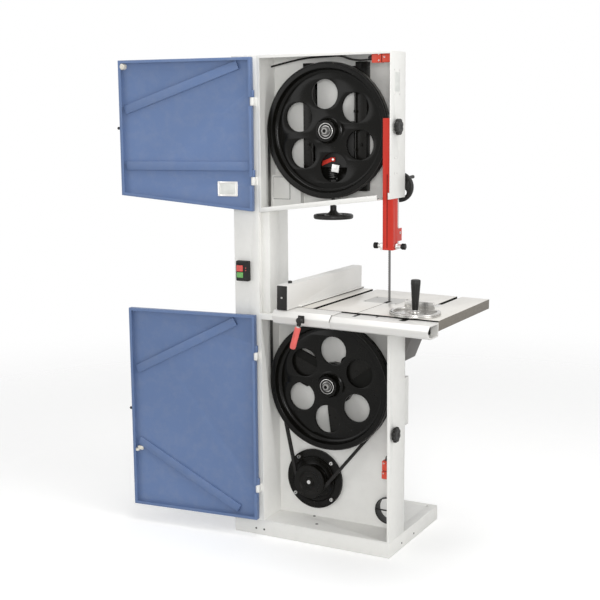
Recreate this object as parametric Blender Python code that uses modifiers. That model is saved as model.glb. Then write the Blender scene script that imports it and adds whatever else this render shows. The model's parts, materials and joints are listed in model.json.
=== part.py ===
"""Floor-standing band saw, both doors open. Lengths below are millimetres and become metres in the
shape functions. X runs right along the saw's front, Y to the back, Z up, from the middle of the base."""

import math

import bmesh
import bpy
from mathutils import Matrix, Vector

MM = 0.001
GAP = 0.3

# Frame
BASE_WIDTH = 720
BASE_DEPTH = 520
BASE_HEIGHT = 63
HEIGHT = 1994
SHEET = 4
FRONT = -260
COLUMN_LEFT = -340
COLUMN_RIGHT = -222
COLUMN_BACK = -16
BOX_RIGHT = BASE_WIDTH / 2
FLANGE = 11
UPPER_BACK = -118
UPPER_BOTTOM_LEFT = 1369
UPPER_BOTTOM_RIGHT = 1437
LOWER_BACK = -108
LOWER_TOP = 955

# Doors: the hinge axis stands in front of the column
HINGE_X = -232
HINGE_Y = -281
DOOR_START = -2
DOOR_END = 590
DOOR_OUTSIDE = -6
DOOR_INSIDE = 19
DOOR_SHEET = 2.5
DOOR_LIP = 12
UPPER_DOOR_OPEN = 172
LOWER_DOOR_OPEN = 174.5
KNUCKLE_RADIUS = 9
UPPER_KNUCKLES = (1844, 1528)
LOWER_KNUCKLES = (809, 242)

# Band wheels
WHEEL_X = 60.5
UPPER_WHEEL_Z = 1695
LOWER_WHEEL_Z = 665
WHEEL_RADIUS = 262
TYRE_THICKNESS = 4.5
TYRE_RADIUS = WHEEL_RADIUS + TYRE_THICKNESS
RIM_FRONT = -212
RIM_BACK = -178
WEB_FRONT = -183
WEB_BACK = -171
HOLE_PITCH = 145
HOLE_RADIUS = 58
AXLE_RADIUS = 15
BEARING_RADIUS = 31
WHEEL_STEPS = 40

# Blade and drive
BLADE_FRONT = -203
BLADE_BACK = -183
BLADE_THICKNESS = 0.9
BLADE_CLEARANCE = 0.8
BELT_FRONT = -166
BELT_BACK = -154
BELT_HALF = 6
PULLEY_RADIUS = 256
MOTOR_X = -46
MOTOR_Z = 235
MOTOR_PULLEY_RADIUS = 62

# Blade tension
TENSION_Y = -147
BAR_FRONT = -157
HANDWHEEL_RADIUS = 80
HANDWHEEL_Z = 1354

# Guides
POST_Z = 1262
GUARD_BOTTOM = 1237
GUARD_TOP = 1743
GUARD_LEFT = 310
GUARD_RIGHT = 353
GUARD_FRONT = -220
GUIDE_Z = 1251
GUIDE_Y = -193
CRANK_X = 327
CRANK_Y = -100
CRANK_Z = 1475

# Table
TABLE_LEFT = 26
TABLE_RIGHT = 650
TABLE_FRONT = -484
TABLE_BACK = 60
TABLE_TOP = 1032
TABLE_LEAN = 1
TABLE_PLATE = 14
TABLE_SKIRT = 38
TILT_X = 327
SLOT_WIDTH = 20
SLOT_DEPTH = 9
LEFT_SLOT_X = 149
RIGHT_SLOT_X = 524
INSERT_LEFT = 233
INSERT_RIGHT = 381
INSERT_FRONT = -240
INSERT_BACK = -110
TRUNNION_RADIUS = 120

# Rail, fence and mitre gauge
RAIL_FRONT = -588
RAIL_TOP = 1026.5
RAIL_BOTTOM = 974.5
FENCE_LEFT = 38
FENCE_RIGHT = 80
FENCE_FRONT = -572
FENCE_BACK = 75
FENCE_TOP = 1126
FENCE_FOOT = 12
CARRIER_RIGHT = 264
LEVER_X = 152
LEVER_Z = 1006
MITRE_Y = -402
MITRE_RADIUS = 95

# Dust outlet and latch knobs
DUST_X = 290
DUST_Z = 145
DUST_RADIUS = 56
UPPER_LATCH_Y = -214
UPPER_LATCH_Z = 1710
LOWER_LATCH_Y = -226
LOWER_LATCH_Z = 506

# colour, roughness, metallic
FINISHES = {
    "white paint": ((0.80, 0.80, 0.77), 0.45, 0.0),
    "blue paint": ((0.16, 0.23, 0.40), 0.45, 0.0),
    "red paint": ((0.58, 0.07, 0.05), 0.4, 0.0),
    "black paint": ((0.025, 0.024, 0.022), 0.45, 0.0),
    "black plastic": ((0.02, 0.02, 0.02), 0.5, 0.0),
    "red plastic": ((0.62, 0.08, 0.05), 0.45, 0.0),
    "green plastic": ((0.16, 0.42, 0.12), 0.45, 0.0),
    "rubber": ((0.02, 0.02, 0.02), 0.8, 0.0),
    "steel": ((0.55, 0.55, 0.54), 0.3, 1.0),
    "blade steel": ((0.22, 0.22, 0.22), 0.4, 1.0),
    "ground iron": ((0.62, 0.61, 0.58), 0.35, 1.0),
    "cast iron": ((0.20, 0.19, 0.18), 0.6, 0.3),
    "aluminium": ((0.80, 0.80, 0.78), 0.4, 0.6),
}

parts = bpy.data.collections.new("band_saw")
helpers = bpy.data.collections.new("band_saw_cutters")


def clear_scene():
    for obj in list(bpy.data.objects):
        bpy.data.objects.remove(obj, do_unlink=True)
    bpy.context.scene.collection.children.link(parts)
    bpy.context.scene.collection.children.link(helpers)


def helper(mesh):
    """An object that isn't a part yet: it may stay a cutter."""
    obj = bpy.data.objects.new("helper", mesh)
    obj.hide_render = True
    obj.display_type = "WIRE"
    helpers.objects.link(obj)
    return obj


def from_bmesh(bm):
    mesh = bpy.data.meshes.new("helper")
    bm.to_mesh(mesh)
    bm.free()
    return helper(mesh)


def box(low, high):
    bm = bmesh.new()
    bmesh.ops.create_cube(bm, size=1)
    size = Vector(high) - Vector(low)
    middle = (Vector(high) + Vector(low)) / 2
    bmesh.ops.scale(bm, vec=size * MM, verts=bm.verts)
    bmesh.ops.translate(bm, vec=middle * MM, verts=bm.verts)
    return from_bmesh(bm)


def turn_to(axis):
    """Takes local Z to the named axis."""
    if axis == "X":
        return Matrix.Rotation(math.radians(90), 4, "Y")
    if axis == "Y":
        return Matrix.Rotation(math.radians(-90), 4, "X")
    return Matrix.Identity(4)


def rod(axis, low_end, length, radius, end_radius=None, sides=16):
    """A cylinder or cone from low_end, along the axis."""
    bm = bmesh.new()
    bmesh.ops.create_cone(
        bm,
        cap_ends=True,
        segments=sides,
        radius1=radius * MM,
        radius2=(radius if end_radius is None else end_radius) * MM,
        depth=length * MM,
    )
    bmesh.ops.translate(bm, vec=(0, 0, length / 2 * MM), verts=bm.verts)
    bm.transform(turn_to(axis))
    bm.transform(Matrix.Translation(Vector(low_end) * MM))
    return from_bmesh(bm)


def mesh_of(curve_object, place):
    """The curve object's solid as a mesh helper, moved by the matrix place. The curve is removed."""
    graph = bpy.context.evaluated_depsgraph_get()
    mesh = bpy.data.meshes.new_from_object(curve_object.evaluated_get(graph))
    bpy.data.objects.remove(curve_object, do_unlink=True)
    bm = bmesh.new()
    bm.from_mesh(mesh)
    bmesh.ops.remove_doubles(bm, verts=bm.verts, dist=1e-6)
    bmesh.ops.recalc_face_normals(bm, faces=bm.faces)
    bm.transform(place)
    bm.to_mesh(mesh)
    bm.free()
    return helper(mesh)


def slab(plane, loops, low, high):
    """A flat outline, with any holes as further loops, from low to high across its plane."""
    curve = bpy.data.curves.new("outline", "CURVE")
    curve.dimensions = "2D"
    curve.fill_mode = "BOTH"
    curve.extrude = (high - low) / 2 * MM
    for loop in loops:
        spline = curve.splines.new("POLY")
        spline.points.add(len(loop) - 1)
        for point, (across, up) in zip(spline.points, loop):
            point.co = (across * MM, up * MM, 0, 1)
        spline.use_cyclic_u = True
    obj = bpy.data.objects.new("outline", curve)
    helpers.objects.link(obj)
    middle = (high + low) / 2
    if plane == "XZ":
        place = Matrix.Translation((0, middle * MM, 0)) @ Matrix.Rotation(math.radians(90), 4, "X")
    elif plane == "YZ":
        turn = Matrix(((0, 0, 1, 0), (1, 0, 0, 0), (0, 1, 0, 0), (0, 0, 0, 1)))
        place = Matrix.Translation((middle * MM, 0, 0)) @ turn
    else:
        place = Matrix.Translation((0, 0, middle * MM))
    return mesh_of(obj, place)


def turned(axis, place, profile, steps=20, closed=False):
    """A profile of (radius, distance along the axis) turned round an axis through place."""
    bm = bmesh.new()
    verts = [bm.verts.new((radius * MM, 0, along * MM)) for radius, along in profile]
    for first, second in zip(verts, verts[1:]):
        bm.edges.new((first, second))
    if closed:
        bm.edges.new((verts[-1], verts[0]))
    obj = from_bmesh(bm)
    screw = obj.modifiers.new("Turn", "SCREW")
    screw.axis = "Z"
    screw.angle = math.tau
    screw.steps = steps
    screw.render_steps = steps
    screw.use_merge_vertices = True
    screw.merge_threshold = 1e-5
    obj.matrix_world = Matrix.Translation(Vector(place) * MM) @ turn_to(axis)
    return obj


def tube(points, radius, resolution=2, curve_type="POLY"):
    curve = bpy.data.curves.new("path", "CURVE")
    curve.dimensions = "3D"
    curve.bevel_depth = radius * MM
    curve.bevel_resolution = resolution
    curve.use_fill_caps = True
    spline = curve.splines.new(curve_type)
    spline.points.add(len(points) - 1)
    for point, place in zip(spline.points, points):
        point.co = (*(value * MM for value in place), 1)
    obj = bpy.data.objects.new("path", curve)
    helpers.objects.link(obj)
    return mesh_of(obj, Matrix.Identity(4))


def smooth_path(anchors, steps=3):
    """Points on a smooth curve through the anchors."""
    ends = [anchors[0], *anchors, anchors[-1]]
    path = []
    for before, start, end, after in zip(ends, ends[1:], ends[2:], ends[3:]):
        before, start, end, after = map(Vector, (before, start, end, after))
        for step in range(steps):
            t = step / steps
            path.append(
                start
                + (end - before) * t / 2
                + (2 * before - 5 * start + 4 * end - after) * t**2 / 2
                + (3 * start - before - 3 * end + after) * t**3 / 2
            )
    path.append(Vector(anchors[-1]))
    return [tuple(point) for point in path]


def combine(obj, others, operation):
    for other in others:
        boolean = obj.modifiers.new(operation.title(), "BOOLEAN")
        boolean.operation = operation
        boolean.solver = "EXACT"
        boolean.object = other
    return obj


def add(obj, *others):
    return combine(obj, others, "UNION")


def cut(obj, *others):
    return combine(obj, others, "DIFFERENCE")


def put_origin(obj, place):
    """Moves a mesh object's origin to place, leaving its shape where it is."""
    offset = Vector(place) * MM
    obj.data.transform(Matrix.Translation(-offset))
    obj.location = offset
    return obj


def material_for(name, finish):
    colour, roughness, metallic = FINISHES[finish]
    material = bpy.data.materials.new(name)
    material.use_nodes = True
    shader = material.node_tree.nodes["Principled BSDF"]
    shader.inputs["Base Color"].default_value = (*colour, 1)
    shader.inputs["Roughness"].default_value = roughness
    shader.inputs["Metallic"].default_value = metallic
    return material


def part(name, obj, finish, origin=None):
    """Makes a helper a part of the saw."""
    if origin is not None:
        put_origin(obj, origin)
    obj.name = name
    obj.data.name = name
    obj.hide_render = False
    obj.display_type = "TEXTURED"
    helpers.objects.unlink(obj)
    parts.objects.link(obj)
    obj.data.shade_smooth()
    obj.data.set_sharp_from_angle(angle=math.radians(35))
    obj.data.materials.append(material_for(name, finish))
    return obj


def hinge_empty(name, angle):
    empty = bpy.data.objects.new(name, None)
    parts.objects.link(empty)
    empty.location = (HINGE_X * MM, HINGE_Y * MM, 0)
    empty.rotation_euler = (0, 0, math.radians(-angle))
    return empty


def around(centre, radius, start, sweep, count):
    """Points on an arc, in degrees, both ends included."""
    angles = [math.radians(start + sweep * i / (count - 1)) for i in range(count)]
    return [(centre[0] + radius * math.cos(a), centre[1] + radius * math.sin(a)) for a in angles]


def belt_loop(first, first_radius, second, second_radius, count):
    """An open belt's outline round two circles, the first one above the second."""
    across = second[0] - first[0]
    down = second[1] - first[1]
    along = math.degrees(math.atan2(down, across))
    reach = math.degrees(math.acos((first_radius - second_radius) / math.hypot(across, down)))
    upper = around(first, first_radius, along + reach, 360 - 2 * reach, count)
    lower = around(second, second_radius, along - reach, 2 * reach, count)
    return upper + lower


def upper_outline(inset, bottom=None):
    """The upper box's front outline, whose floor slopes up to the right."""
    lift = inset if bottom is None else bottom
    return [
        (COLUMN_RIGHT + inset, UPPER_BOTTOM_LEFT + lift),
        (BOX_RIGHT - inset, UPPER_BOTTOM_RIGHT + lift),
        (BOX_RIGHT - inset, HEIGHT - inset),
        (COLUMN_RIGHT + inset, HEIGHT - inset),
    ]


def rectangle(left, low, right, high):
    return [(left, low), (right, low), (right, high), (left, high)]


# ---- frame ----


def make_base():
    half_width = BASE_WIDTH / 2
    half_depth = BASE_DEPTH / 2
    wall = 6
    base = box((-half_width, -half_depth, 0), (half_width, half_depth, BASE_HEIGHT))
    cut(
        base,
        box(
            (wall - half_width, wall - half_depth, -1),
            (half_width - wall, half_depth - wall, BASE_HEIGHT - wall),
        ),
    )
    add(
        base,
        box((1 - half_width, -50, 0), (half_width - 1, 50, BASE_HEIGHT - 1)),
        box((-50, 1 - half_depth, 0), (50, half_depth - 1, BASE_HEIGHT - 1)),
    )
    for x in (-322, 322):
        for y in (-230, 230):
            cut(base, rod("Z", (x, y, -5), BASE_HEIGHT + 10, 7, sides=12))
    part("base", base, "white paint")


def make_column():
    low = BASE_HEIGHT + GAP
    column = box((COLUMN_LEFT, FRONT, low), (COLUMN_RIGHT, COLUMN_BACK, HEIGHT))
    cut(
        column,
        box(
            (COLUMN_LEFT + SHEET, FRONT + SHEET, low - 1),
            (COLUMN_RIGHT - SHEET, COLUMN_BACK - SHEET, HEIGHT - SHEET),
        ),
    )
    for z in (*UPPER_KNUCKLES, *LOWER_KNUCKLES):
        low = z - 48
        knuckle = 33
        arm = box(
            (HINGE_X - 7, HINGE_Y, low), (HINGE_X + 7, FRONT + 1, low + knuckle)
        )
        barrel = rod("Z", (HINGE_X, HINGE_Y, low), knuckle, KNUCKLE_RADIUS, sides=16)
        pin = rod("Z", (HINGE_X, HINGE_Y, low + 5), 55, 4, sides=10)
        add(column, arm, barrel, pin)
    part("column", column, "white paint")


def make_upper_box():
    shell = slab("XZ", [upper_outline(GAP)], FRONT, UPPER_BACK)
    cut(
        shell,
        slab("XZ", [upper_outline(SHEET)], FRONT + SHEET, UPPER_BACK - SHEET),
        slab("XZ", [upper_outline(FLANGE + 1, 20)], FRONT - 5, FRONT + SHEET + 1),
        box((303, FRONT - 5, 1400), (BOX_RIGHT - FLANGE, -125, 1475)),
        box((303, FRONT + SHEET - 1, 1400), (BOX_RIGHT - SHEET + 0.1, -125, 1475)),
        box((-215, BLADE_FRONT - 6, 1340), (-197, BLADE_BACK + 6, 1400)),
        rod("Z", (WHEEL_X, TENSION_Y, 1380), 60, 11),
        box((BOX_RIGHT - 40, FRONT - 5, 1462), (BOX_RIGHT - SHEET, FRONT + SHEET + 1, HEIGHT - FLANGE - 1)),
        rod("Y", (CRANK_X, UPPER_BACK - 10, CRANK_Z), 20, 7, sides=12),
        rod("X", (BOX_RIGHT - 10, UPPER_LATCH_Y, UPPER_LATCH_Z), 20, 7, sides=12),
    )
    panel = slab(
        "XZ",
        [[(-219, 1372), (-86, 1388), (-86, 1515), (-219, 1515)]],
        UPPER_BACK - SHEET - 28,
        UPPER_BACK - 1,
    )
    add(shell, panel)
    part("upper_box", shell, "white paint")


def make_lower_box():
    left = COLUMN_RIGHT + GAP
    low = BASE_HEIGHT + GAP
    shell = box((left, FRONT, low), (BOX_RIGHT, LOWER_BACK, LOWER_TOP))
    inside = box(
        (left + SHEET, FRONT - 5, low + SHEET),
        (BOX_RIGHT - SHEET, LOWER_BACK - SHEET, LOWER_TOP - SHEET),
    )
    cut(shell, inside)
    add(
        shell,
        box((BOX_RIGHT - FLANGE, FRONT, low + 1), (BOX_RIGHT - 1, FRONT + SHEET, LOWER_TOP - 1)),
        box((left + 1, FRONT, LOWER_TOP - 25), (BOX_RIGHT - 1, FRONT + SHEET, LOWER_TOP - 1)),
        box((300, LOWER_BACK - 1, 511), (BOX_RIGHT - 1, LOWER_BACK + 40, 711)),
    )
    back = LOWER_BACK - 10
    cut(
        shell,
        rod("Y", (MOTOR_X, back, MOTOR_Z), 20, 104, sides=40),
        rod("Y", (DUST_X, back, DUST_Z), 20, DUST_RADIUS + 1, sides=32),
        rod("Y", (WHEEL_X, back, LOWER_WHEEL_Z), 20, AXLE_RADIUS + 2, sides=20),
        box((-215, BLADE_FRONT - 6, 940), (-197, BLADE_BACK + 6, 970)),
        box((318, BLADE_FRONT - 10, 940), (338, BLADE_BACK + 6, 970)),
        rod("X", (BOX_RIGHT - 10, LOWER_LATCH_Y, LOWER_LATCH_Z), 20, 7, sides=12),
    )
    part("lower_box", shell, "white paint")


def make_blade_run_cover():
    """The channel over the blade's rising run, on the column between the boxes."""
    low = LOWER_TOP + GAP
    cover = slab(
        "XZ",
        [[(COLUMN_RIGHT + GAP, low), (-184, low), (-184, 1373), (COLUMN_RIGHT + GAP, 1368.5)]],
        -240,
        -162,
    )
    cut(cover, box((-230, -236, 940), (-188, -166, 1400)))
    add(cover, box((COLUMN_RIGHT + GAP, -239, 1150), (-217, -163, 1170)))
    part("blade_run_cover", cover, "white paint")


# ---- doors ----


def door_pan(outline_at, knuckles):
    """A folded pan with a return lip, its hinge knuckles and the gaps for the column's ones."""
    pan = slab("XZ", [outline_at(0)], DOOR_OUTSIDE, DOOR_INSIDE)
    cut(
        pan,
        slab(
            "XZ",
            [outline_at(DOOR_SHEET)],
            DOOR_OUTSIDE + DOOR_SHEET,
            DOOR_INSIDE - DOOR_SHEET,
        ),
        slab("XZ", [outline_at(DOOR_LIP)], DOOR_INSIDE - 5, DOOR_INSIDE + 5),
    )
    for z in knuckles:
        cut(pan, box((-5, -12, z - 49), (12, DOOR_INSIDE + 5, z - 14.6)))
        add(pan, rod("Z", (0, 0, z - 14.6), 28, KNUCKLE_RADIUS, sides=16))
        cut(pan, rod("Z", (0, 0, z - 20), 40, 4.7, sides=12))
    return pan


def upper_door_outline(inset):
    return [
        (DOOR_START + inset, 1376 + inset),
        (DOOR_END - inset, 1433 + inset),
        (DOOR_END - inset, 1986 - inset),
        (DOOR_START + inset, 1986 - inset),
    ]


def lower_door_outline(inset):
    return rectangle(DOOR_START + inset, 78 + inset, DOOR_END - inset, 950 - inset)


def brace(start, end, width=36, height=9):
    """A flat stiffening strip on the door's inner face, from start to end as (across, up)."""
    run = Vector(end) - Vector(start)
    side = Vector((-run.y, run.x)).normalized() * width / 2
    corners = [Vector(start) - side, Vector(end) - side, Vector(end) + side, Vector(start) + side]
    low = DOOR_OUTSIDE + DOOR_SHEET + GAP
    return slab("XZ", [[tuple(corner) for corner in corners]], low, low + height)


def make_doors():
    hinge = hinge_empty("upper_door_hinge", UPPER_DOOR_OPEN)
    door = door_pan(upper_door_outline, UPPER_KNUCKLES)
    add(door, rod("X", (DOOR_END - 1, 7, UPPER_LATCH_Z), 16, 5, sides=12))
    part("upper_door", door, "blue paint")
    diagonal = part("upper_door_diagonal_brace", brace((572, 1784), (60, 1958)), "blue paint")
    level = part("upper_door_cross_brace", brace((15, 1556), (573, 1556)), "blue paint")
    hang([door, diagonal, level], hinge)

    hinge = hinge_empty("lower_door_hinge", LOWER_DOOR_OPEN)
    door = door_pan(lower_door_outline, LOWER_KNUCKLES)
    add(door, rod("X", (DOOR_END - 1, 7, LOWER_LATCH_Z), 16, 5, sides=12))
    part("lower_door", door, "blue paint")
    rising = part("lower_door_upper_brace", brace((566, 680), (92, 918)), "blue paint")
    falling = part("lower_door_lower_brace", brace((566, 364), (88, 112)), "blue paint")
    hang([door, rising, falling], hinge)


def hang(objects, empty):
    """Parents the objects, and all that their Booleans use, to the empty they were built round."""
    for obj in objects:
        obj.parent = empty
        for modifier in obj.modifiers:
            if modifier.type == "BOOLEAN":
                modifier.object.parent = empty


def make_latch_knobs():
    for name, y, z in (
        ("upper_latch_knob", UPPER_LATCH_Y, UPPER_LATCH_Z),
        ("lower_latch_knob", LOWER_LATCH_Y, LOWER_LATCH_Z),
    ):
        knob = turned(
            "X",
            (BOX_RIGHT, y, z),
            [(0, 22), (25, 22), (32, 18), (32, 8), (22, 5), (14, 1), (6, 1), (6, -6), (0, -6)],
            steps=14,
        )
        part(name, knob, "black plastic")


# ---- band wheels, blade and drive ----


def make_wheel(which, z, first_hole):
    back_hub = -160
    wheel = turned(
        "Y",
        (WHEEL_X, 0, z),
        [
            (WHEEL_RADIUS, RIM_BACK),
            (WHEEL_RADIUS, RIM_FRONT),
            (243, RIM_FRONT),
            (236, WEB_FRONT - 2),
            (228, WEB_FRONT),
            (56, WEB_FRONT),
            (42, -196),
            (42, -216),
            (BEARING_RADIUS + GAP, -216),
            (BEARING_RADIUS + GAP, -197.5),
            (AXLE_RADIUS + 1, -197.5),
            (AXLE_RADIUS + 1, back_hub),
            (42, back_hub),
            (42, WEB_BACK),
            (236, WEB_BACK),
            (240, RIM_BACK),
        ],
        steps=WHEEL_STEPS,
        closed=True,
    )
    for i in range(6):
        angle = math.radians(first_hole + 60 * i)
        middle_x = WHEEL_X + HOLE_PITCH * math.cos(angle)
        middle_z = z + HOLE_PITCH * math.sin(angle)
        cut(wheel, rod("Y", (middle_x, -200, middle_z), 50, HOLE_RADIUS))
    part(which + "_wheel", wheel, "black paint")

    inner = WHEEL_RADIUS + GAP
    tyre = turned(
        "Y",
        (WHEEL_X, 0, z),
        [(TYRE_RADIUS, RIM_BACK), (TYRE_RADIUS, RIM_FRONT), (inner, RIM_FRONT), (inner, RIM_BACK)],
        steps=WHEEL_STEPS,
        closed=True,
    )
    part(which + "_tyre", tyre, "rubber")

    bore = AXLE_RADIUS + GAP
    bearing = turned(
        "Y",
        (WHEEL_X, 0, z),
        [(BEARING_RADIUS, -198), (BEARING_RADIUS, -214), (bore, -214), (bore, -198)],
        closed=True,
    )
    part(which + "_bearing", bearing, "steel")


def axle(z, flange_front, flange_radius, back):
    """A stub axle with a flange behind, and a nut on its nose."""
    shaft = turned(
        "Y",
        (WHEEL_X, 0, z),
        [
            (0, back),
            (flange_radius, back),
            (flange_radius, flange_front),
            (AXLE_RADIUS, flange_front),
            (AXLE_RADIUS, -221),
            (0, -221),
        ],
    )
    add(shaft, rod("Y", (WHEEL_X, -226, z), 11, 19, sides=6))
    return shaft


def make_blade():
    upper = (WHEEL_X, UPPER_WHEEL_Z)
    lower = (WHEEL_X, LOWER_WHEEL_Z)
    inner = TYRE_RADIUS + BLADE_CLEARANCE
    outer = inner + BLADE_THICKNESS
    loops = [belt_loop(upper, radius, lower, radius, 27) for radius in (outer, inner)]
    part("saw_blade", slab("XZ", loops, BLADE_FRONT, BLADE_BACK), "blade steel")


def make_drive():
    centre = (WHEEL_X, LOWER_WHEEL_Z)
    motor = (MOTOR_X, MOTOR_Z)
    loops = [
        belt_loop(centre, PULLEY_RADIUS + side, motor, MOTOR_PULLEY_RADIUS + side, 22)
        for side in (BELT_HALF, -BELT_HALF)
    ]
    part("drive_belt", slab("XZ", loops, BELT_FRONT, BELT_BACK), "rubber")

    bed = PULLEY_RADIUS - BELT_HALF - 1.5
    edge = PULLEY_RADIUS + BELT_HALF + 2
    front = BELT_FRONT - 3
    back = BELT_BACK + 3
    ring = turned(
        "Y",
        (WHEEL_X, 0, LOWER_WHEEL_Z),
        [
            (edge, back),
            (edge, BELT_BACK + 1),
            (bed, BELT_BACK + 1),
            (bed, BELT_FRONT - 1),
            (edge, BELT_FRONT - 1),
            (edge, front),
            (bed - 10, front),
            (bed - 10, back),
        ],
        steps=WHEEL_STEPS,
        closed=True,
    )
    for angle in (157, 37, -83):
        spoke = box((20, BELT_FRONT, -32), (bed - 5, BELT_BACK, 32))
        spoke.matrix_world = Matrix.Translation(
            Vector((WHEEL_X, 0, LOWER_WHEEL_Z)) * MM
        ) @ Matrix.Rotation(math.radians(-angle), 4, "Y")
        add(ring, spoke)
    hub_front = -159.5
    hub = rod("Y", (WHEEL_X, hub_front, LOWER_WHEEL_Z), 27, 90)
    add(ring, hub)
    cut(ring, rod("Y", (WHEEL_X, -240, LOWER_WHEEL_Z), 200, AXLE_RADIUS + 1))
    cut(ring, rod("Y", (WHEEL_X, -240, LOWER_WHEEL_Z), 240 + hub_front - 0.1, 44))
    part("drive_pulley", ring, "black paint")

    bed = MOTOR_PULLEY_RADIUS - BELT_HALF - 1
    edge = MOTOR_PULLEY_RADIUS + BELT_HALF + 2
    pulley = turned(
        "Y",
        (MOTOR_X, 0, MOTOR_Z),
        [
            (0, -146),
            (edge, -146),
            (edge, BELT_BACK + 1),
            (bed, BELT_BACK + 1),
            (bed, BELT_FRONT - 1),
            (edge, BELT_FRONT - 1),
            (edge, -174),
            (44, -174),
            (41, -170),
            (20, -170),
            (18, -176),
            (8, -176),
            (8, -179),
            (0, -179),
        ],
    )
    part("motor_pulley", pulley, "black paint")


def make_motor():
    flange = turned(
        "Y",
        (MOTOR_X, 0, MOTOR_Z),
        [
            (0, LOWER_BACK - SHEET - GAP),
            (128, LOWER_BACK - SHEET - GAP),
            (128, -126),
            (98, -126),
            (92, -121),
            (66, -121),
            (60, -132),
            (20, -132),
            (20, -142),
            (0, -142),
        ],
        steps=32,
    )
    part("motor_flange", flange, "black paint")
    start = LOWER_BACK - SHEET
    housing = turned(
        "Y",
        (MOTOR_X, 0, MOTOR_Z),
        [(0, 212), (86, 212), (96, 202), (96, 130), (101, 128), (101, start), (0, start)],
        steps=32,
    )
    add(housing, box((MOTOR_X - 55, -40, MOTOR_Z + 80), (MOTOR_X + 55, 70, MOTOR_Z + 145)))
    part("motor_housing", housing, "black paint")


# ---- blade tension ----


def make_tension():
    back = UPPER_BACK - SHEET - GAP
    bracket = box((-68, BAR_FRONT, 1459), (-22, back, 1961))
    add(
        bracket,
        box((164, BAR_FRONT, 1459), (212, back, 1961)),
        box((-40, BAR_FRONT + 2, 1459), (180, back - 1, 1479)),
        box((-40, BAR_FRONT + 2, 1915), (180, back - 1, 1945)),
        box((-40, back - 4.5, 1465), (180, back - 1, 1728)),
    )
    cut(bracket, rod("Z", (WHEEL_X, TENSION_Y, 1450), 40, 9.5, sides=16))
    part("tension_bracket", bracket, "black paint")

    carriage = box((-15, BAR_FRONT, 1550), (157, back - 5, 1732))
    cut(carriage, rod("Z", (WHEEL_X, TENSION_Y, 1540), 85, 10, sides=16))
    cut(carriage, rod("Y", (WHEEL_X, BAR_FRONT - 10, UPPER_WHEEL_Z), 60, AXLE_RADIUS + GAP))
    part("tension_carriage", carriage, "cast iron")

    shaft = axle(UPPER_WHEEL_Z, -158.8, 30, -157.3)
    add(shaft, rod("Y", (WHEEL_X, -160, UPPER_WHEEL_Z), 32, AXLE_RADIUS))
    part("upper_axle", shaft, "steel")

    turns = 4
    per_turn = 8
    bottom = 1505
    rise = 41
    count = turns * per_turn
    coil = [
        (
            WHEEL_X + 16 * math.cos(math.tau * i / per_turn),
            TENSION_Y + 16 * math.sin(math.tau * i / per_turn),
            bottom + rise * i / count,
        )
        for i in range(count + 1)
    ]
    part("tension_spring", tube(coil, 3, resolution=1), "steel")

    nut = rod("Z", (WHEEL_X, TENSION_Y, 1491.7), 9.6, 19.5, sides=6)
    cut(nut, rod("Z", (WHEEL_X, TENSION_Y, 1480), 40, 9, sides=16))
    part("tension_nut", nut, "steel")

    pointer = slab("XZ", [[(10, 1553), (62, 1574), (76, 1574), (76, 1590), (60, 1590), (14, 1572)]],
                   -164, BAR_FRONT - GAP)
    part("tension_pointer", pointer, "red paint")

    wheel = turned(
        "Z",
        (WHEEL_X, TENSION_Y, HANDWHEEL_Z),
        [
            (0, 236),
            (8, 236),
            (8, 44),
            (13, 43),
            (13, 20),
            (30, 12),
            (66, 4),
            (72, 9),
            (HANDWHEEL_RADIUS, 5),
            (HANDWHEEL_RADIUS, -5),
            (72, -9),
            (64, -4),
            (28, 3),
            (16, 0),
            (0, 0),
        ],
        steps=20,
    )
    for i in range(4):
        angle = math.radians(45 + 90 * i)
        x = WHEEL_X + 46 * math.cos(angle)
        y = TENSION_Y + 46 * math.sin(angle)
        cut(wheel, rod("Z", (x, y, HANDWHEEL_Z - 20), 60, 15, sides=12))
    part("tension_handwheel", wheel, "black plastic")


# ---- guide post, guard and guides ----


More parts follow.
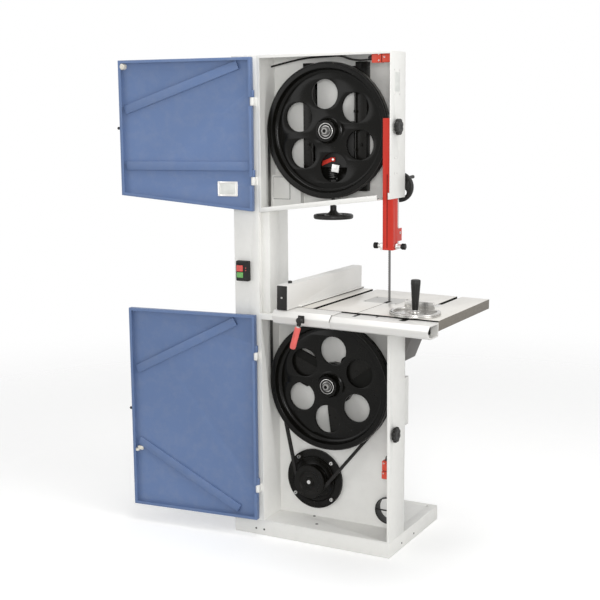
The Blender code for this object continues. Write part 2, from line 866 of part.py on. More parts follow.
def make_guides():
    post = box((322, -174, POST_Z), (348, -148, POST_Z + 498))
    part("guide_post", post, "steel")

    guard = box((GUARD_LEFT, GUARD_FRONT, GUARD_BOTTOM), (GUARD_RIGHT, GUARD_FRONT + 2.5, GUARD_TOP))
    side = GUARD_RIGHT - 2.5
    add(
        guard,
        box((side, GUARD_FRONT, GUARD_BOTTOM), (GUARD_RIGHT, -172, GUARD_TOP)),
        box((side, -175, 1268), (GUARD_RIGHT, -132, 1318)),
    )
    cut(
        guard,
        box((327, GUARD_FRONT - 5, GUARD_BOTTOM + 8), (330, GUARD_FRONT + 5, 1530)),
        rod("X", (side - 5, GUIDE_Y, GUIDE_Z), 12, 8, sides=16),
    )
    part("blade_guard", guard, "red paint")

    block = box((298, GUARD_FRONT + 4, GUARD_BOTTOM), (349, -148, POST_Z - GAP))
    cut(
        block,
        box((321, GUARD_FRONT - 5, 1200), (334, BLADE_BACK + 2, 1300)),
        rod("X", (290, GUIDE_Y, GUIDE_Z), 80, 7.4, sides=16),
    )
    part("guide_block", block, "aluminium")

    for name, end, direction in (("left_guide_knob", 312, -1), ("right_guide_knob", 341, 1)):
        reach = 50 if direction < 0 else 55
        collar = 16 if direction < 0 else 14
        profile = [
            (0, reach),
            (10, reach),
            (12, reach - 2),
            (12, reach - 16),
            (8.5, reach - 18),
            (8.5, collar),
            (6.8, collar),
            (6.8, 0),
            (0, 0),
        ]
        if direction < 0:
            profile = [(radius, -along) for radius, along in reversed(profile)]
        knob = turned("X", (end, GUIDE_Y, GUIDE_Z), profile, steps=16)
        part(name, knob, "black plastic")

    crank = turned(
        "Y",
        (CRANK_X, CRANK_Y, CRANK_Z),
        [
            (0, 10),
            (12, 10),
            (14, 4),
            (46, 2),
            (52, 10),
            (60, 7),
            (60, -7),
            (48, -9),
            (14, -5),
            (13, -17),
            (6, -17),
            (6, -46),
            (0, -46),
        ],
    )
    for i in range(3):
        angle = math.radians(105 + 120 * i)
        x = CRANK_X + 30 * math.cos(angle)
        z = CRANK_Z + 30 * math.sin(angle)
        cut(crank, rod("Y", (x, CRANK_Y - 20, z), 40, 12.5, sides=16))
    peg = (CRANK_X + 38, CRANK_Y, CRANK_Z + 38)
    add(crank, rod("Y", peg, 50, 5, end_radius=7, sides=12))
    part("guide_crank", crank, "black plastic")

    lower = box((300, BLADE_FRONT - 14, LOWER_TOP + GAP), (345, BLADE_BACK + 8, 985))
    cut(lower, box((320, -230, 940), (335, BLADE_BACK + 2, 1000)))
    part("lower_guide", lower, "cast iron")


# ---- table ----


def make_table():
    under = TABLE_TOP - TABLE_SKIRT
    table = box((TABLE_LEFT, TABLE_FRONT, under), (TABLE_RIGHT, TABLE_BACK, TABLE_TOP))
    skirt = 14
    cut(
        table,
        box(
            (TABLE_LEFT + skirt, TABLE_FRONT + skirt, under - 5),
            (TABLE_RIGHT - skirt, TABLE_BACK - skirt, TABLE_TOP - TABLE_PLATE),
        ),
    )
    for x in (LEFT_SLOT_X, RIGHT_SLOT_X):
        half = SLOT_WIDTH / 2
        slot = box(
            (x - half, TABLE_FRONT - 5, TABLE_TOP - SLOT_DEPTH),
            (x + half, TABLE_BACK + 5, TABLE_TOP + 5),
        )
        cut(table, slot)
    ledge = 10
    cut(
        table,
        box((INSERT_LEFT, INSERT_FRONT, TABLE_TOP - 4.6), (INSERT_RIGHT, INSERT_BACK, TABLE_TOP + 5)),
        box(
            (INSERT_LEFT + ledge, INSERT_FRONT + ledge, TABLE_TOP - 30),
            (INSERT_RIGHT - ledge + 5, INSERT_BACK - ledge, TABLE_TOP + 5),
        ),
        box((TILT_X - 1.5, TABLE_FRONT - 5, under - 5), (TILT_X + 1.5, INSERT_FRONT + 20, TABLE_TOP + 5)),
    )
    part("table", table, "ground iron", origin=(TILT_X, 0, TABLE_TOP))

    insert = box(
        (INSERT_LEFT + GAP, INSERT_FRONT + GAP, TABLE_TOP - 4.3),
        (INSERT_RIGHT - GAP, INSERT_BACK - GAP, TABLE_TOP - GAP),
    )
    cut(insert, box((TILT_X - 6, INSERT_FRONT - 5, 1010), (TILT_X + 8, BLADE_BACK + 4, 1040)))
    part("table_insert", insert, "aluminium", origin=(TILT_X, 0, TABLE_TOP))

    plate_bottom = TABLE_TOP - TABLE_PLATE - GAP
    half_disc = around((TILT_X, TABLE_TOP), TRUNNION_RADIUS, -169, 158, 25)
    half_disc = [(x, min(z, plate_bottom - 5)) for x, z in half_disc]
    trunnion = slab("XZ", [half_disc], -88, -66)
    add(
        trunnion,
        slab("XZ", [half_disc], 8, 30),
        box((TILT_X - 100, -88, plate_bottom - 20), (TILT_X + 100, 30, plate_bottom)),
    )
    part("table_trunnion", trunnion, "cast iron", origin=(TILT_X, 0, TABLE_TOP))

    saddle = slab(
        "XZ",
        [[(262, 772), (345, 772), (386, 872), (386, 919), (262, 919)]],
        LOWER_BACK + GAP,
        TABLE_BACK - skirt - 2 * GAP - 14,
    )
    cut(saddle, rod("Y", (TILT_X, -150, TABLE_TOP), 250, TRUNNION_RADIUS + 1, sides=96))
    part("table_saddle", saddle, "cast iron")


def rail_outline(offset, back):
    """The rail's section in Y and Z, grown by offset: a flat back and a many-sided nose."""
    front = RAIL_FRONT - offset
    top = RAIL_TOP + offset
    bottom = RAIL_BOTTOM - offset
    step = offset * 0.4
    return [
        (back, top),
        (front + 17 + step, top),
        (front, top - 17 - step),
        (front, top - 21 - step),
        (front + 15 + step, bottom + 7),
        (front + 34 + step, bottom),
        (back, bottom),
    ]


def make_rail_and_fence():
    back = TABLE_FRONT - GAP
    loops = [rail_outline(0, back), rail_outline(-5, back - 5)]
    part("front_rail", slab("YZ", loops, TABLE_LEFT - 2, TABLE_RIGHT), "aluminium")

    shell = slab("YZ", [rail_outline(4.5, back - 1)], TABLE_LEFT - 2, CARRIER_RIGHT)
    cut(shell, slab("YZ", [rail_outline(0.8, back + 9)], TABLE_LEFT - 10, CARRIER_RIGHT + 10))
    cut(shell, box((-10, -640, 940), (CARRIER_RIGHT + 10, -480, 983)))
    part("fence_carrier", shell, "aluminium")

    low = TABLE_TOP + 0.4
    wall = 4
    outer = rectangle(FENCE_LEFT, low, FENCE_RIGHT, FENCE_TOP)
    hollow = rectangle(FENCE_LEFT + wall, low + wall, FENCE_RIGHT - wall, FENCE_TOP - wall)
    fence = slab("XZ", [outer, hollow], FENCE_FRONT, FENCE_BACK)
    foot_right = FENCE_RIGHT + FENCE_FOOT
    add(fence, box((FENCE_RIGHT - 2, TABLE_FRONT + 4, low), (foot_right, FENCE_BACK, low + 5)))
    part("fence", fence, "aluminium")
    cap = box((FENCE_LEFT, FENCE_FRONT - 5, low), (FENCE_RIGHT - 1, FENCE_FRONT - GAP, FENCE_TOP - 3))
    part("fence_end_cap", cap, "black plastic")

    place = (LEVER_X, 0, LEVER_Z)
    nose = RAIL_FRONT - 4.5
    lever = rod("Y", (LEVER_X, nose - 24, LEVER_Z), 24 - GAP, 12)
    run = Vector((-35, -124))

    def along(*parts):
        return [(LEVER_X + run.x * t, nose - 14, LEVER_Z + run.y * t) for t in parts]

    add(lever, tube(along(0.02, 0.26), 7), tube(along(0.2, 1.0), 11.5))
    part("fence_lever", lever, "red plastic", origin=place)


def make_mitre():
    half = SLOT_WIDTH / 2 - 0.8
    top = TABLE_TOP - 0.4
    bar = box(
        (RIGHT_SLOT_X - half, -476, TABLE_TOP - SLOT_DEPTH + 0.5), (RIGHT_SLOT_X + half, -155, top)
    )
    part("mitre_bar", bar, "steel", origin=(RIGHT_SLOT_X, MITRE_Y, top))

    centre = (RIGHT_SLOT_X, MITRE_Y)
    flat = MITRE_Y + 62
    disc = [(x, min(y, flat)) for x, y in around(centre, MITRE_RADIUS, 135, 270, 31)]
    low = TABLE_TOP + 0.4
    head = slab("XY", [disc], low, low + 12)
    add(head, box((RIGHT_SLOT_X - 66, flat - 9, low + 1), (RIGHT_SLOT_X + 54, flat, low + 38)))
    part("mitre_head", head, "aluminium", origin=(*centre, low))

    handle = turned(
        "Z",
        (*centre, low + 12),
        [(0, 117), (15, 117), (18, 113), (18, 101), (11, 8), (11, GAP), (0, GAP)],
        steps=20,
    )
    part("mitre_handle", handle, "black plastic")


def lean_table():
    """The table stands a degree off level: it and all that rides on it turn about the tilt axis."""
    empty = bpy.data.objects.new("table_lean", None)
    parts.objects.link(empty)
    turn = Matrix.Rotation(math.radians(TABLE_LEAN), 4, "Y")
    axis = Vector((TILT_X, 0, TABLE_TOP)) * MM
    empty.matrix_world = Matrix.Translation(axis) @ turn @ Matrix.Translation(-axis)
    names = (
        "table",
        "table_insert",
        "table_trunnion",
        "front_rail",
        "fence_carrier",
        "fence",
        "fence_end_cap",
        "fence_lever",
        "mitre_bar",
        "mitre_head",
        "mitre_handle",
    )
    hang([bpy.data.objects[name] for name in names], empty)


# ---- switches and dust outlet ----


def make_switches():
    plate = FRONT - GAP
    face = plate - 17
    body = box((-324, face, 1086), (-264, plate, 1170))
    for low, high in ((1125, 1152), (1099, 1123)):
        cut(body, box((-321, face - 5, low), (-290, face + 12, high)))
    part("switch_box", body, "black plastic")
    stop = box((-320, face - 3, 1126), (-291, face + 7, 1151))
    part("stop_button", stop, "red plastic", origin=(-305.5, face, 1138.5))
    start = box((-320, face - 1, 1100), (-291, face + 7, 1122))
    part("start_button", start, "green plastic", origin=(-305.5, face, 1111))

    upper = box((274, -245, 1950), (352, -215, HEIGHT - SHEET - GAP))
    part("upper_limit_switch", upper, "red plastic")
    route = smooth_path(
        [
            (-217, -150, 1952),
            (-150, -148, 1966),
            (-60, -146, 1981),
            (40, -150, 1985),
            (110, -180, 1984),
            (165, -215, 1970),
            (215, -228, 1962),
            (273, -230, 1964),
        ]
    )
    part("upper_switch_cable", tube(route, 4, resolution=1), "rubber")

    lower = box((317, -240, 321), (BOX_RIGHT - SHEET - GAP, -205, 395))
    part("lower_limit_switch", lower, "red plastic")
    route = smooth_path(
        [(336, -222, 395.5), (336, -221, 432), (338, -200, 490), (342, -150, 520), (343, -113, 524)]
    )
    part("lower_switch_cable", tube(route, 4, resolution=1), "rubber")


def make_dust_port():
    port = turned(
        "Y",
        (DUST_X, 0, DUST_Z),
        [
            (DUST_RADIUS, -78),
            (DUST_RADIUS, -122),
            (DUST_RADIUS - 3, -122),
            (DUST_RADIUS - 3, -78),
        ],
        steps=32,
        closed=True,
    )
    reach = DUST_RADIUS - 1
    add(
        port,
        box((DUST_X - reach, -121, DUST_Z - 2), (DUST_X + reach, -115, DUST_Z + 2)),
        box((DUST_X - 2, -121, DUST_Z - reach), (DUST_X + 2, -115, DUST_Z + reach)),
    )
    part("dust_port", port, "black plastic")


def main():
    clear_scene()
    make_base()
    make_column()
    make_upper_box()
    make_lower_box()
    make_blade_run_cover()
    make_doors()
    make_latch_knobs()
    make_wheel("upper", UPPER_WHEEL_Z, 38)
    make_wheel("lower", LOWER_WHEEL_Z, 24.7)
    lower_axle = axle(LOWER_WHEEL_Z, -128, 60, LOWER_BACK - SHEET - GAP)
    part("lower_axle", lower_axle, "steel")
    make_blade()
    make_drive()
    make_motor()
    make_tension()
    make_guides()
    make_table()
    make_rail_and_fence()
    make_mitre()
    lean_table()
    make_switches()
    make_dust_port()


main()
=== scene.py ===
import json
import math

import bmesh
import bpy
from mathutils import Matrix, Vector

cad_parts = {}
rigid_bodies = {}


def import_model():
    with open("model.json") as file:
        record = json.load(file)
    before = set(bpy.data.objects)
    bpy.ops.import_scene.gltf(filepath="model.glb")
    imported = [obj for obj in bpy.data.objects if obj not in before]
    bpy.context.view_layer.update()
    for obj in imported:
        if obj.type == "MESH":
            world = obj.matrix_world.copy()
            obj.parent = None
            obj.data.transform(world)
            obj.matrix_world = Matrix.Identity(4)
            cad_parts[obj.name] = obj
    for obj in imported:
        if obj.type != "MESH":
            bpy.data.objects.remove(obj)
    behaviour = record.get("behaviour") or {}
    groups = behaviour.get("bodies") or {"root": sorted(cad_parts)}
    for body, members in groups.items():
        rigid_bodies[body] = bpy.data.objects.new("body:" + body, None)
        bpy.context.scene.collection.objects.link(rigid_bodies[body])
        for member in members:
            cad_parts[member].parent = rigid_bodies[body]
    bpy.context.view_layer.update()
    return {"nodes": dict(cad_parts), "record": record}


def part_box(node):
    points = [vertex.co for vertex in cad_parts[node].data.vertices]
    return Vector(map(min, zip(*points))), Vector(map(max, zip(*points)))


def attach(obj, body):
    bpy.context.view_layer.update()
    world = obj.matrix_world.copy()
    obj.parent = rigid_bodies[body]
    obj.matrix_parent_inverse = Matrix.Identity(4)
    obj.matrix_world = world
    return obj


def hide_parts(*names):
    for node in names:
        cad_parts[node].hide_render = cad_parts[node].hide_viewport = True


for leftover in list(bpy.data.objects):
    bpy.data.objects.remove(leftover)

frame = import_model()
mm = 0.001
sharpOver = 25.0  # degrees; sheet and casting edges sharper than this are rounded
print("frame loaded:", len(frame["nodes"]), "nodes")


class Wire:  # a socket that takes part in Python expressions
    def __init__(self, paint, socket):
        self.paint = paint
        self.socket = socket

    def math(self, operation, first, second=0.0):
        return self.paint.node("Math", {"operation": operation}, {0: first, 1: second})

    def __add__(self, other):
        return self.math("ADD", self, other)

    def __sub__(self, other):
        return self.math("SUBTRACT", self, other)

    def __rsub__(self, other):
        return self.math("SUBTRACT", other, self)

    def __mul__(self, other):
        return self.math("MULTIPLY", self, other)

    def __gt__(self, limit):
        return self.math("GREATER_THAN", self, limit)

    __radd__ = __add__
    __rmul__ = __mul__


class Paint:  # one material on a Principled surface
    def __init__(self, name, **values):
        self.material = bpy.data.materials.new(name)
        self.material.use_nodes = True
        self.tree = self.material.node_tree
        self.surface = self.tree.nodes["Principled BSDF"]
        self.set(**values)

    def feed(self, socket, value):
        if isinstance(value, Wire):
            self.tree.links.new(value.socket, socket)
        else:
            socket.default_value = value

    def set(self, **values):  # BaseColor=..., CoatWeight=...: the sockets' names without spaces
        for socket in self.surface.inputs:
            plain = socket.name.replace(" ", "")
            if plain in values:
                self.feed(socket, values.pop(plain))
        return self

    def node(self, kind, settings=None, sockets=None, output=0):
        made = self.tree.nodes.new("ShaderNode" + kind)
        settings = dict(settings or {})
        stops = settings.pop("stops", ())
        for key, value in settings.items():
            setattr(made, key, value)
        for step, (place, level) in enumerate(stops):
            if step >= len(made.color_ramp.elements):
                made.color_ramp.elements.new(1.0)
            made.color_ramp.elements[step].position = place
            made.color_ramp.elements[step].color = (level, level, level, 1.0)
        for key, value in (sockets or {}).items():
            self.feed(made.inputs[key], value)
        return Wire(self, made.outputs[output])

    def place(self, stretch=None):
        point = self.node("TexCoord", output=3)
        if stretch is None:
            return point
        return self.node("Mapping", {}, {"Vector": point, "Scale": stretch})

    def noise(self, size, detail=3.0, stretch=None, rough=0.5):
        sockets = {"Vector": self.place(stretch), "Scale": 1.0 / size, "Detail": detail, "Roughness": rough}
        return self.node("TexNoise", {}, sockets)

    def ramp(self, factor, *stops):
        return self.node("ValToRGB", {"stops": stops}, {0: factor})

    def blend(self, factor, first, second):
        first, second = ((*tone, 1.0) if isinstance(tone, tuple) else tone for tone in (first, second))
        return self.node("Mix", {"data_type": "RGBA"}, {0: factor, 6: first, 7: second}, 2)

    def bump(self, height, depth):
        return self.node("Bump", {}, {"Height": height, "Distance": depth, "Strength": 1.0})


def shade(color, factor):
    return tuple(min(1.0, channel * factor) for channel in color)


def powderCoat(name, color, roughness, peel=0.00005, drift=0.04, gloss=0.4, dusty=0.10):
    paint = Paint(name, SpecularIORLevel=gloss)
    cloud = paint.noise(0.30, 4.0)
    tone = paint.blend(cloud, shade(color, 1.0 - drift), shade(color, 1.0 + drift))
    dust = paint.ramp(paint.noise(0.05, 6.0, rough=0.65), (0.45, 0.0), (0.80, 1.0))
    tone = paint.blend(dust * dusty, tone, (0.42, 0.41, 0.38))
    paint.set(BaseColor=tone, Roughness=roughness + dust * 0.12,
              Normal=paint.bump(paint.noise(0.0024, 2.0), peel))
    return paint.material


def brushed(name, color, roughness, stretch, metallic=1.0, depth=0.00003, spread=0.18):
    paint = Paint(name, Metallic=metallic)
    lines = paint.noise(0.004, 4.0, stretch)
    cloud = paint.noise(0.06, 3.0)
    tone = paint.blend(lines * 0.6 + cloud * 0.4, shade(color, 1.0 - spread), shade(color, 1.0 + spread))
    paint.set(BaseColor=tone, Roughness=roughness + lines * 0.12, Normal=paint.bump(lines, depth))
    return paint.material


def moulded(name, color, roughness, grainSize=0.0012, depth=0.00005, gloss=0.4):
    paint = Paint(name, SpecularIORLevel=gloss)
    cloud = paint.noise(0.03, 3.0)
    tone = paint.blend(cloud, shade(color, 0.80), shade(color, 1.25))
    paint.set(BaseColor=tone, Roughness=roughness + cloud * 0.1,
              Normal=paint.bump(paint.noise(grainSize, 2.0), depth))
    return paint.material


def castSkin(name, color, roughness, metallic=0.3):
    paint = Paint(name, Metallic=metallic)
    cloud = paint.noise(0.05, 5.0, rough=0.6)
    tone = paint.blend(cloud, shade(color, 0.72), shade(color, 1.28))
    paint.set(BaseColor=tone, Roughness=roughness + cloud * 0.15,
              Normal=paint.bump(paint.noise(0.003, 4.0), 0.0003))
    return paint.material


def groundTable(name):  # a ground top with fine lengthwise lines, and rough milled sides
    paint = Paint(name)
    facing = paint.node("SeparateXYZ", {}, {0: paint.node("TexCoord", output=1)}, 2)
    top = facing > 0.5
    lines = paint.noise(0.003, 3.0, (9.0, 0.25, 1.0))
    stain = paint.ramp(paint.noise(0.11, 5.0, rough=0.6), (0.40, 0.0), (0.75, 1.0))
    bright = paint.blend(lines, (0.66, 0.635, 0.59), (0.80, 0.775, 0.73))
    bright = paint.blend(stain * 0.22, bright, (0.55, 0.50, 0.44))
    streak = paint.noise(0.005, 4.0, (3.0, 3.0, 0.35), 0.6)
    side = paint.blend(streak, (0.055, 0.048, 0.039), (0.27, 0.245, 0.21))
    paint.set(
        BaseColor=paint.blend(top, side, bright),
        Metallic=top * 0.45,
        Roughness=0.62 - top * 0.36 + lines * 0.06,
        Normal=paint.bump(lines * top * 0.1 + (1.0 - top) * streak, 0.0002),
    )
    return paint.material


finish = {
    "white_paint": powderCoat("white powder coat", (0.79, 0.785, 0.755), 0.36),
    "blue_paint": powderCoat("blue powder coat", (0.118, 0.180, 0.335), 0.40, gloss=0.3),
    "black_paint": powderCoat("satin black paint", (0.0055, 0.0051, 0.0040), 0.27, 0.00005, 0.10, 0.16,
                              0.006),
    "black_plastic": moulded("black moulding", (0.012, 0.0115, 0.0105), 0.34, gloss=0.28),
    "red_paint": powderCoat("red paint", (0.56, 0.040, 0.026), 0.36, drift=0.03, gloss=0.12, dusty=0.03),
    "red_plastic": moulded("red moulding", (0.60, 0.060, 0.030), 0.30),
    "green_plastic": moulded("green moulding", (0.16, 0.40, 0.12), 0.30),
    "rubber": moulded("black rubber", (0.013, 0.012, 0.011), 0.55, gloss=0.25),
    "bright_steel": brushed("turned steel", (0.66, 0.65, 0.63), 0.22, (1.0, 1.0, 14.0)),
    # the band's steel colour is darkened as a painted reflection of the dark box inside
    "blade_steel": brushed("blade strip", (0.15, 0.147, 0.143), 0.36, (8.0, 8.0, 1.0)),
    "ground_iron": groundTable("ground iron table"),
    "cast_iron": castSkin("grey cast iron", (0.13, 0.125, 0.12), 0.55),
    "aluminium": brushed("anodised aluminium", (0.69, 0.68, 0.655), 0.40, (0.3, 10.0, 10.0), 0.25,
                         spread=0.05),
}
gripRed = moulded("red grip rubber", (0.66, 0.115, 0.10), 0.42)
stopRed = moulded("stop button red", (0.62, 0.10, 0.085), 0.32)
rubberWhite = moulded("off-white rubber", (0.66, 0.63, 0.55), 0.5)
plateWhite = moulded("blank label", (0.66, 0.67, 0.64), 0.45, depth=0.00001)
springSteel = brushed("dark spring steel", (0.10, 0.098, 0.095), 0.40, (6.0, 6.0, 6.0))
darkCast = castSkin("blackened casting", (0.006, 0.0057, 0.005), 0.6, 0.0)
wheelBlack = powderCoat("glossy wheel paint", (0.0040, 0.0038, 0.0030), 0.17, 0.00003, 0.10, 0.15, 0.004)
dullSteel = brushed("dull turned steel", (0.30, 0.295, 0.285), 0.34, (6.0, 6.0, 6.0))
polishedCast = brushed("polished casting", (0.50, 0.49, 0.47), 0.20, (6.0, 1.0, 6.0), 0.8, spread=0.14)
insertMetal = brushed("milled insert plate", (0.50, 0.49, 0.47), 0.34, (0.6, 9.0, 9.0), 0.5, spread=0.08)
# matte black laid as painted shade in holes, sockets, slots, gaps and hollows; also used for the mitre
# scale's printed marks and the pulley's spokes
shadeAndPrintBlack = moulded("painted shade and print black", (0.010, 0.010, 0.009), 0.8, gloss=0.1)
bareSteel = brushed("bare zinc steel", (0.72, 0.71, 0.69), 0.24, (6.0, 6.0, 6.0))
silverCast = brushed("machined aluminium block", (0.78, 0.77, 0.75), 0.30, (8.0, 1.0, 1.0), 0.55, spread=0.08)
print("finishes made:", len(finish))


def paintNode(name, material):
    holder = frame["nodes"][name]
    holder.data.materials.clear()
    holder.data.materials.append(material)


for part in frame["record"]["subparts"]:
    paintNode(part["node"], finish[part["material_slot"]])
paintNode("tension_nut", darkCast)


crossAxes = {"X": (1, 2, 0), "Y": (0, 2, 1), "Z": (0, 1, 2)}
planeTurn = {
    "XY": Matrix.Identity(3),
    "XZ": Matrix(((1, 0, 0), (0, 0, -1), (0, 1, 0))),
    "YZ": Matrix(((0, 0, 1), (1, 0, 0), (0, 1, 0))),
}


class Form:  # one piece in the making; sizes are millimetres in the frame's own axes
    def __init__(self, *paints):
        self.mesh = bmesh.new()
        self.paints = paints
        self.paint = 0

    def mark(self):  # new faces take the paint in use
        for face in self.mesh.faces:
            if face.material_index == 0:
                face.material_index = self.paint + 1
        return self

    def use(self, paint):
        self.paint = paint
        return self

    def block(self, low, high, soft=0.8, turn=None):
        corners = bmesh.ops.create_cube(self.mesh, size=1.0)["verts"]
        for corner in corners:
            spot = [(a + b) / 2 + (b - a) * part for a, b, part in zip(low, high, corner.co)]
            corner.co = Vector(spot) * mm
        if soft:
            edges = list({edge for corner in corners for edge in corner.link_edges})
            made = bmesh.ops.bevel(self.mesh, geom=edges, offset=soft * mm, segments=2, affect="EDGES",
                                   profile=0.5)
            rounded = {corner for face in made["faces"] for corner in face.verts}
            corners = list(rounded | {corner for corner in corners if corner.is_valid})
        if turn is not None:
            bmesh.ops.transform(self.mesh, matrix=turn, verts=corners)
        return self.mark()

    def spin(self, axis, place, profile, steps=96, closed=False, lobe=None):
        first, second, along = crossAxes[axis]
        rings = []
        for radius, height in profile:
            ring = []
            for step in range(steps if radius else 1):
                angle = math.tau * step / steps
                reach = radius * (lobe(angle) if lobe else 1.0)
                spot = [0.0, 0.0, 0.0]
                spot[first] = place[first] + reach * math.cos(angle)
                spot[second] = place[second] + reach * math.sin(angle)
                spot[along] = place[along] + height
                ring.append(self.mesh.verts.new(Vector(spot) * mm))
            rings.append(ring)
        pairs = list(zip(rings, rings[1:])) + ([(rings[-1], rings[0])] if closed else [])
        for one, two in pairs:
            for step in range(steps):
                after = step + 1
                corners = [one[step % len(one)], one[after % len(one)], two[after % len(two)],
                           two[step % len(two)]]
                corners = list(dict.fromkeys(corners))
                if len(corners) > 2:
                    self.mesh.faces.new(corners)
        return self.mark()

    def plate(self, plane, loops, low, high, soft=0.6, turn=None):
        curve = bpy.data.curves.new("outline", "CURVE")
        curve.dimensions = "2D"
        curve.fill_mode = "BOTH"
        curve.extrude = ((high - low) / 2 - soft) * mm
        curve.bevel_depth = soft * mm
        curve.bevel_resolution = 1
        curve.offset = -soft * mm
        for loop in loops:
            line = curve.splines.new("POLY")
            line.points.add(len(loop) - 1)
            for point, (across, upward) in zip(line.points, loop):
                point.co = (across * mm, upward * mm, 0.0, 1.0)
            line.use_cyclic_u = True
        lift = Vector({"XY": (0, 0, 1), "XZ": (0, 1, 0), "YZ": (1, 0, 0)}[plane]) * (low + high) / 2 * mm
        matrix = Matrix.Translation(lift) @ planeTurn[plane].to_4x4()
        return self.fromCurve(curve, turn @ matrix if turn is not None else matrix)

    def pipe(self, points, radius, sides=3):
        curve = bpy.data.curves.new("pipe", "CURVE")
        curve.dimensions = "3D"
        curve.bevel_depth = radius * mm
        curve.bevel_resolution = sides
        curve.use_fill_caps = True
        line = curve.splines.new("NURBS")
        line.points.add(len(points) - 1)
        for point, spot in zip(line.points, points):
            point.co = (*(Vector(spot) * mm), 1.0)
        line.use_endpoint_u = True
        line.order_u = 4
        return self.fromCurve(curve, Matrix.Identity(4))

    def fromCurve(self, curve, matrix):
        holder = bpy.data.objects.new("outline", curve)
        bpy.context.scene.collection.objects.link(holder)
        graph = bpy.context.evaluated_depsgraph_get()
        mesh = bpy.data.meshes.new_from_object(holder.evaluated_get(graph))
        mesh.transform(matrix)
        bpy.data.objects.remove(holder)
        part = bmesh.new()
        part.from_mesh(mesh)
        bmesh.ops.remove_doubles(part, verts=part.verts, dist=1e-6)
        part.to_mesh(mesh)
        part.free()
        self.mesh.from_mesh(mesh)
        bpy.data.meshes.remove(mesh)
        return self.mark()

    def cadCopy(self, node, soft):  # the node's own shape, its edges rounded
        part = bmesh.new()
        part.from_mesh(frame["nodes"][node].data)
        bmesh.ops.remove_doubles(part, verts=part.verts, dist=1e-5)
        bmesh.ops.dissolve_limit(part, angle_limit=math.radians(1), verts=part.verts, edges=part.edges)
        sharp = math.radians(sharpOver)
        edges = [e for e in part.edges if len(e.link_faces) == 2 and e.calc_face_angle(0) > sharp]
        bmesh.ops.bevel(part, geom=edges, offset=soft * mm, segments=2, affect="EDGES", profile=0.5,
                        clamp_overlap=False)
        mesh = bpy.data.meshes.new("copy")
        part.to_mesh(mesh)
        part.free()
        self.mesh.from_mesh(mesh)
        bpy.data.meshes.remove(mesh)
        return self.mark()

    def done(self, name, body, slot, hides=(), crease=35, recalc=True, turn=None):
        bmesh.ops.remove_doubles(self.mesh, verts=self.mesh.verts, dist=1e-7)
        for face in self.mesh.faces:
            face.material_index -= 1
        if recalc:
            bmesh.ops.recalc_face_normals(self.mesh, faces=self.mesh.faces)
        mesh = bpy.data.meshes.new(name)
        self.mesh.to_mesh(mesh)
        self.mesh.free()
        return settle(name, mesh, self.paints, body, hides, crease, turn)


def copyPart(node, name, body, slot, paint, soft):  # a node of the frame with its edges rounded
    return Form(paint).cadCopy(node, soft).done(name, body, slot, (node,), recalc=False)


def settle(name, mesh, paints, body, hides=(), crease=35, turn=None):
    if turn is not None:
        mesh.transform(turn)
    for paint in paints:
        mesh.materials.append(paint)
    mesh.shade_smooth()
    mesh.set_sharp_from_angle(angle=math.radians(crease))
    made = bpy.data.objects.new(name, mesh)
    bpy.context.scene.collection.objects.link(made)
    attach(made, body)
    if hides:
        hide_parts(*hides)
    return made


def ringLoop(across, upward, radius, steps=64, start=0.0, end=360.0):
    span = math.radians(end - start)
    count = steps if end - start >= 360 else steps + 1
    angles = [math.radians(start) + span * step / steps for step in range(count)]
    return [(across + radius * math.cos(angle), upward + radius * math.sin(angle)) for angle in angles]


def rectangle(left, bottom, right, top, corner=0.0, steps=6):
    if not corner:
        return [(left, bottom), (right, bottom), (right, top), (left, top)]
    spots = ((right - corner, top - corner, 0), (left + corner, top - corner, 90),
             (left + corner, bottom + corner, 180), (right - corner, bottom + corner, 270))
    return [point for x, y, start in spots for point in ringLoop(x, y, corner, steps, start, start + 90)]


class Pattern:  # a Geometry Nodes tree with named inputs
    def __init__(self, name, **inputs):
        self.tree = bpy.data.node_groups.new(name, "GeometryNodeTree")
        face = self.tree.interface
        face.new_socket("Geometry", in_out="INPUT", socket_type="NodeSocketGeometry")
        face.new_socket("Geometry", in_out="OUTPUT", socket_type="NodeSocketGeometry")
        for label, kind in inputs.items():
            face.new_socket(label, in_out="INPUT", socket_type="NodeSocket" + kind)
        self.given = self.tree.nodes.new("NodeGroupInput")
        self.result = self.tree.nodes.new("NodeGroupOutput")

    def node(self, kind, settings=None, sockets=None, output=0):
        made = self.tree.nodes.new(kind)
        for key, value in (settings or {}).items():
            setattr(made, key, value)
        for key, value in (sockets or {}).items():
            if isinstance(value, bpy.types.NodeSocket):
                self.tree.links.new(value, made.inputs[key])
            else:
                made.inputs[key].default_value = value
        return made.outputs[output]

    def maths(self, operation, first, second):
        return self.node("ShaderNodeMath", {"operation": operation}, {0: first, 1: second})

    def finish(self, instances):
        solid = self.node("GeometryNodeRealizeInstances", {}, {"Geometry": instances})
        painted = self.node("GeometryNodeSetMaterial", {},
                            {"Geometry": solid, "Material": self.given.outputs["paint"]})
        self.tree.links.new(painted, self.result.inputs["Geometry"])
        return self

    def run(self, name, source, body, slot, turn=None, crease=35, **values):
        holder = bpy.data.objects.new(name + " source", source)
        bpy.context.scene.collection.objects.link(holder)
        modifier = holder.modifiers.new("pattern", "NODES")
        modifier.node_group = self.tree
        for item in self.tree.interface.items_tree:
            if item.in_out == "INPUT" and item.name in values:
                modifier[item.identifier] = values[item.name]
        bpy.context.view_layer.update()
        graph = bpy.context.evaluated_depsgraph_get()
        mesh = bpy.data.meshes.new_from_object(holder.evaluated_get(graph))
        holder.modifiers.clear()
        bpy.data.objects.remove(holder)
        mesh.name = name
        return settle(name, mesh, (), body, (), crease, turn)


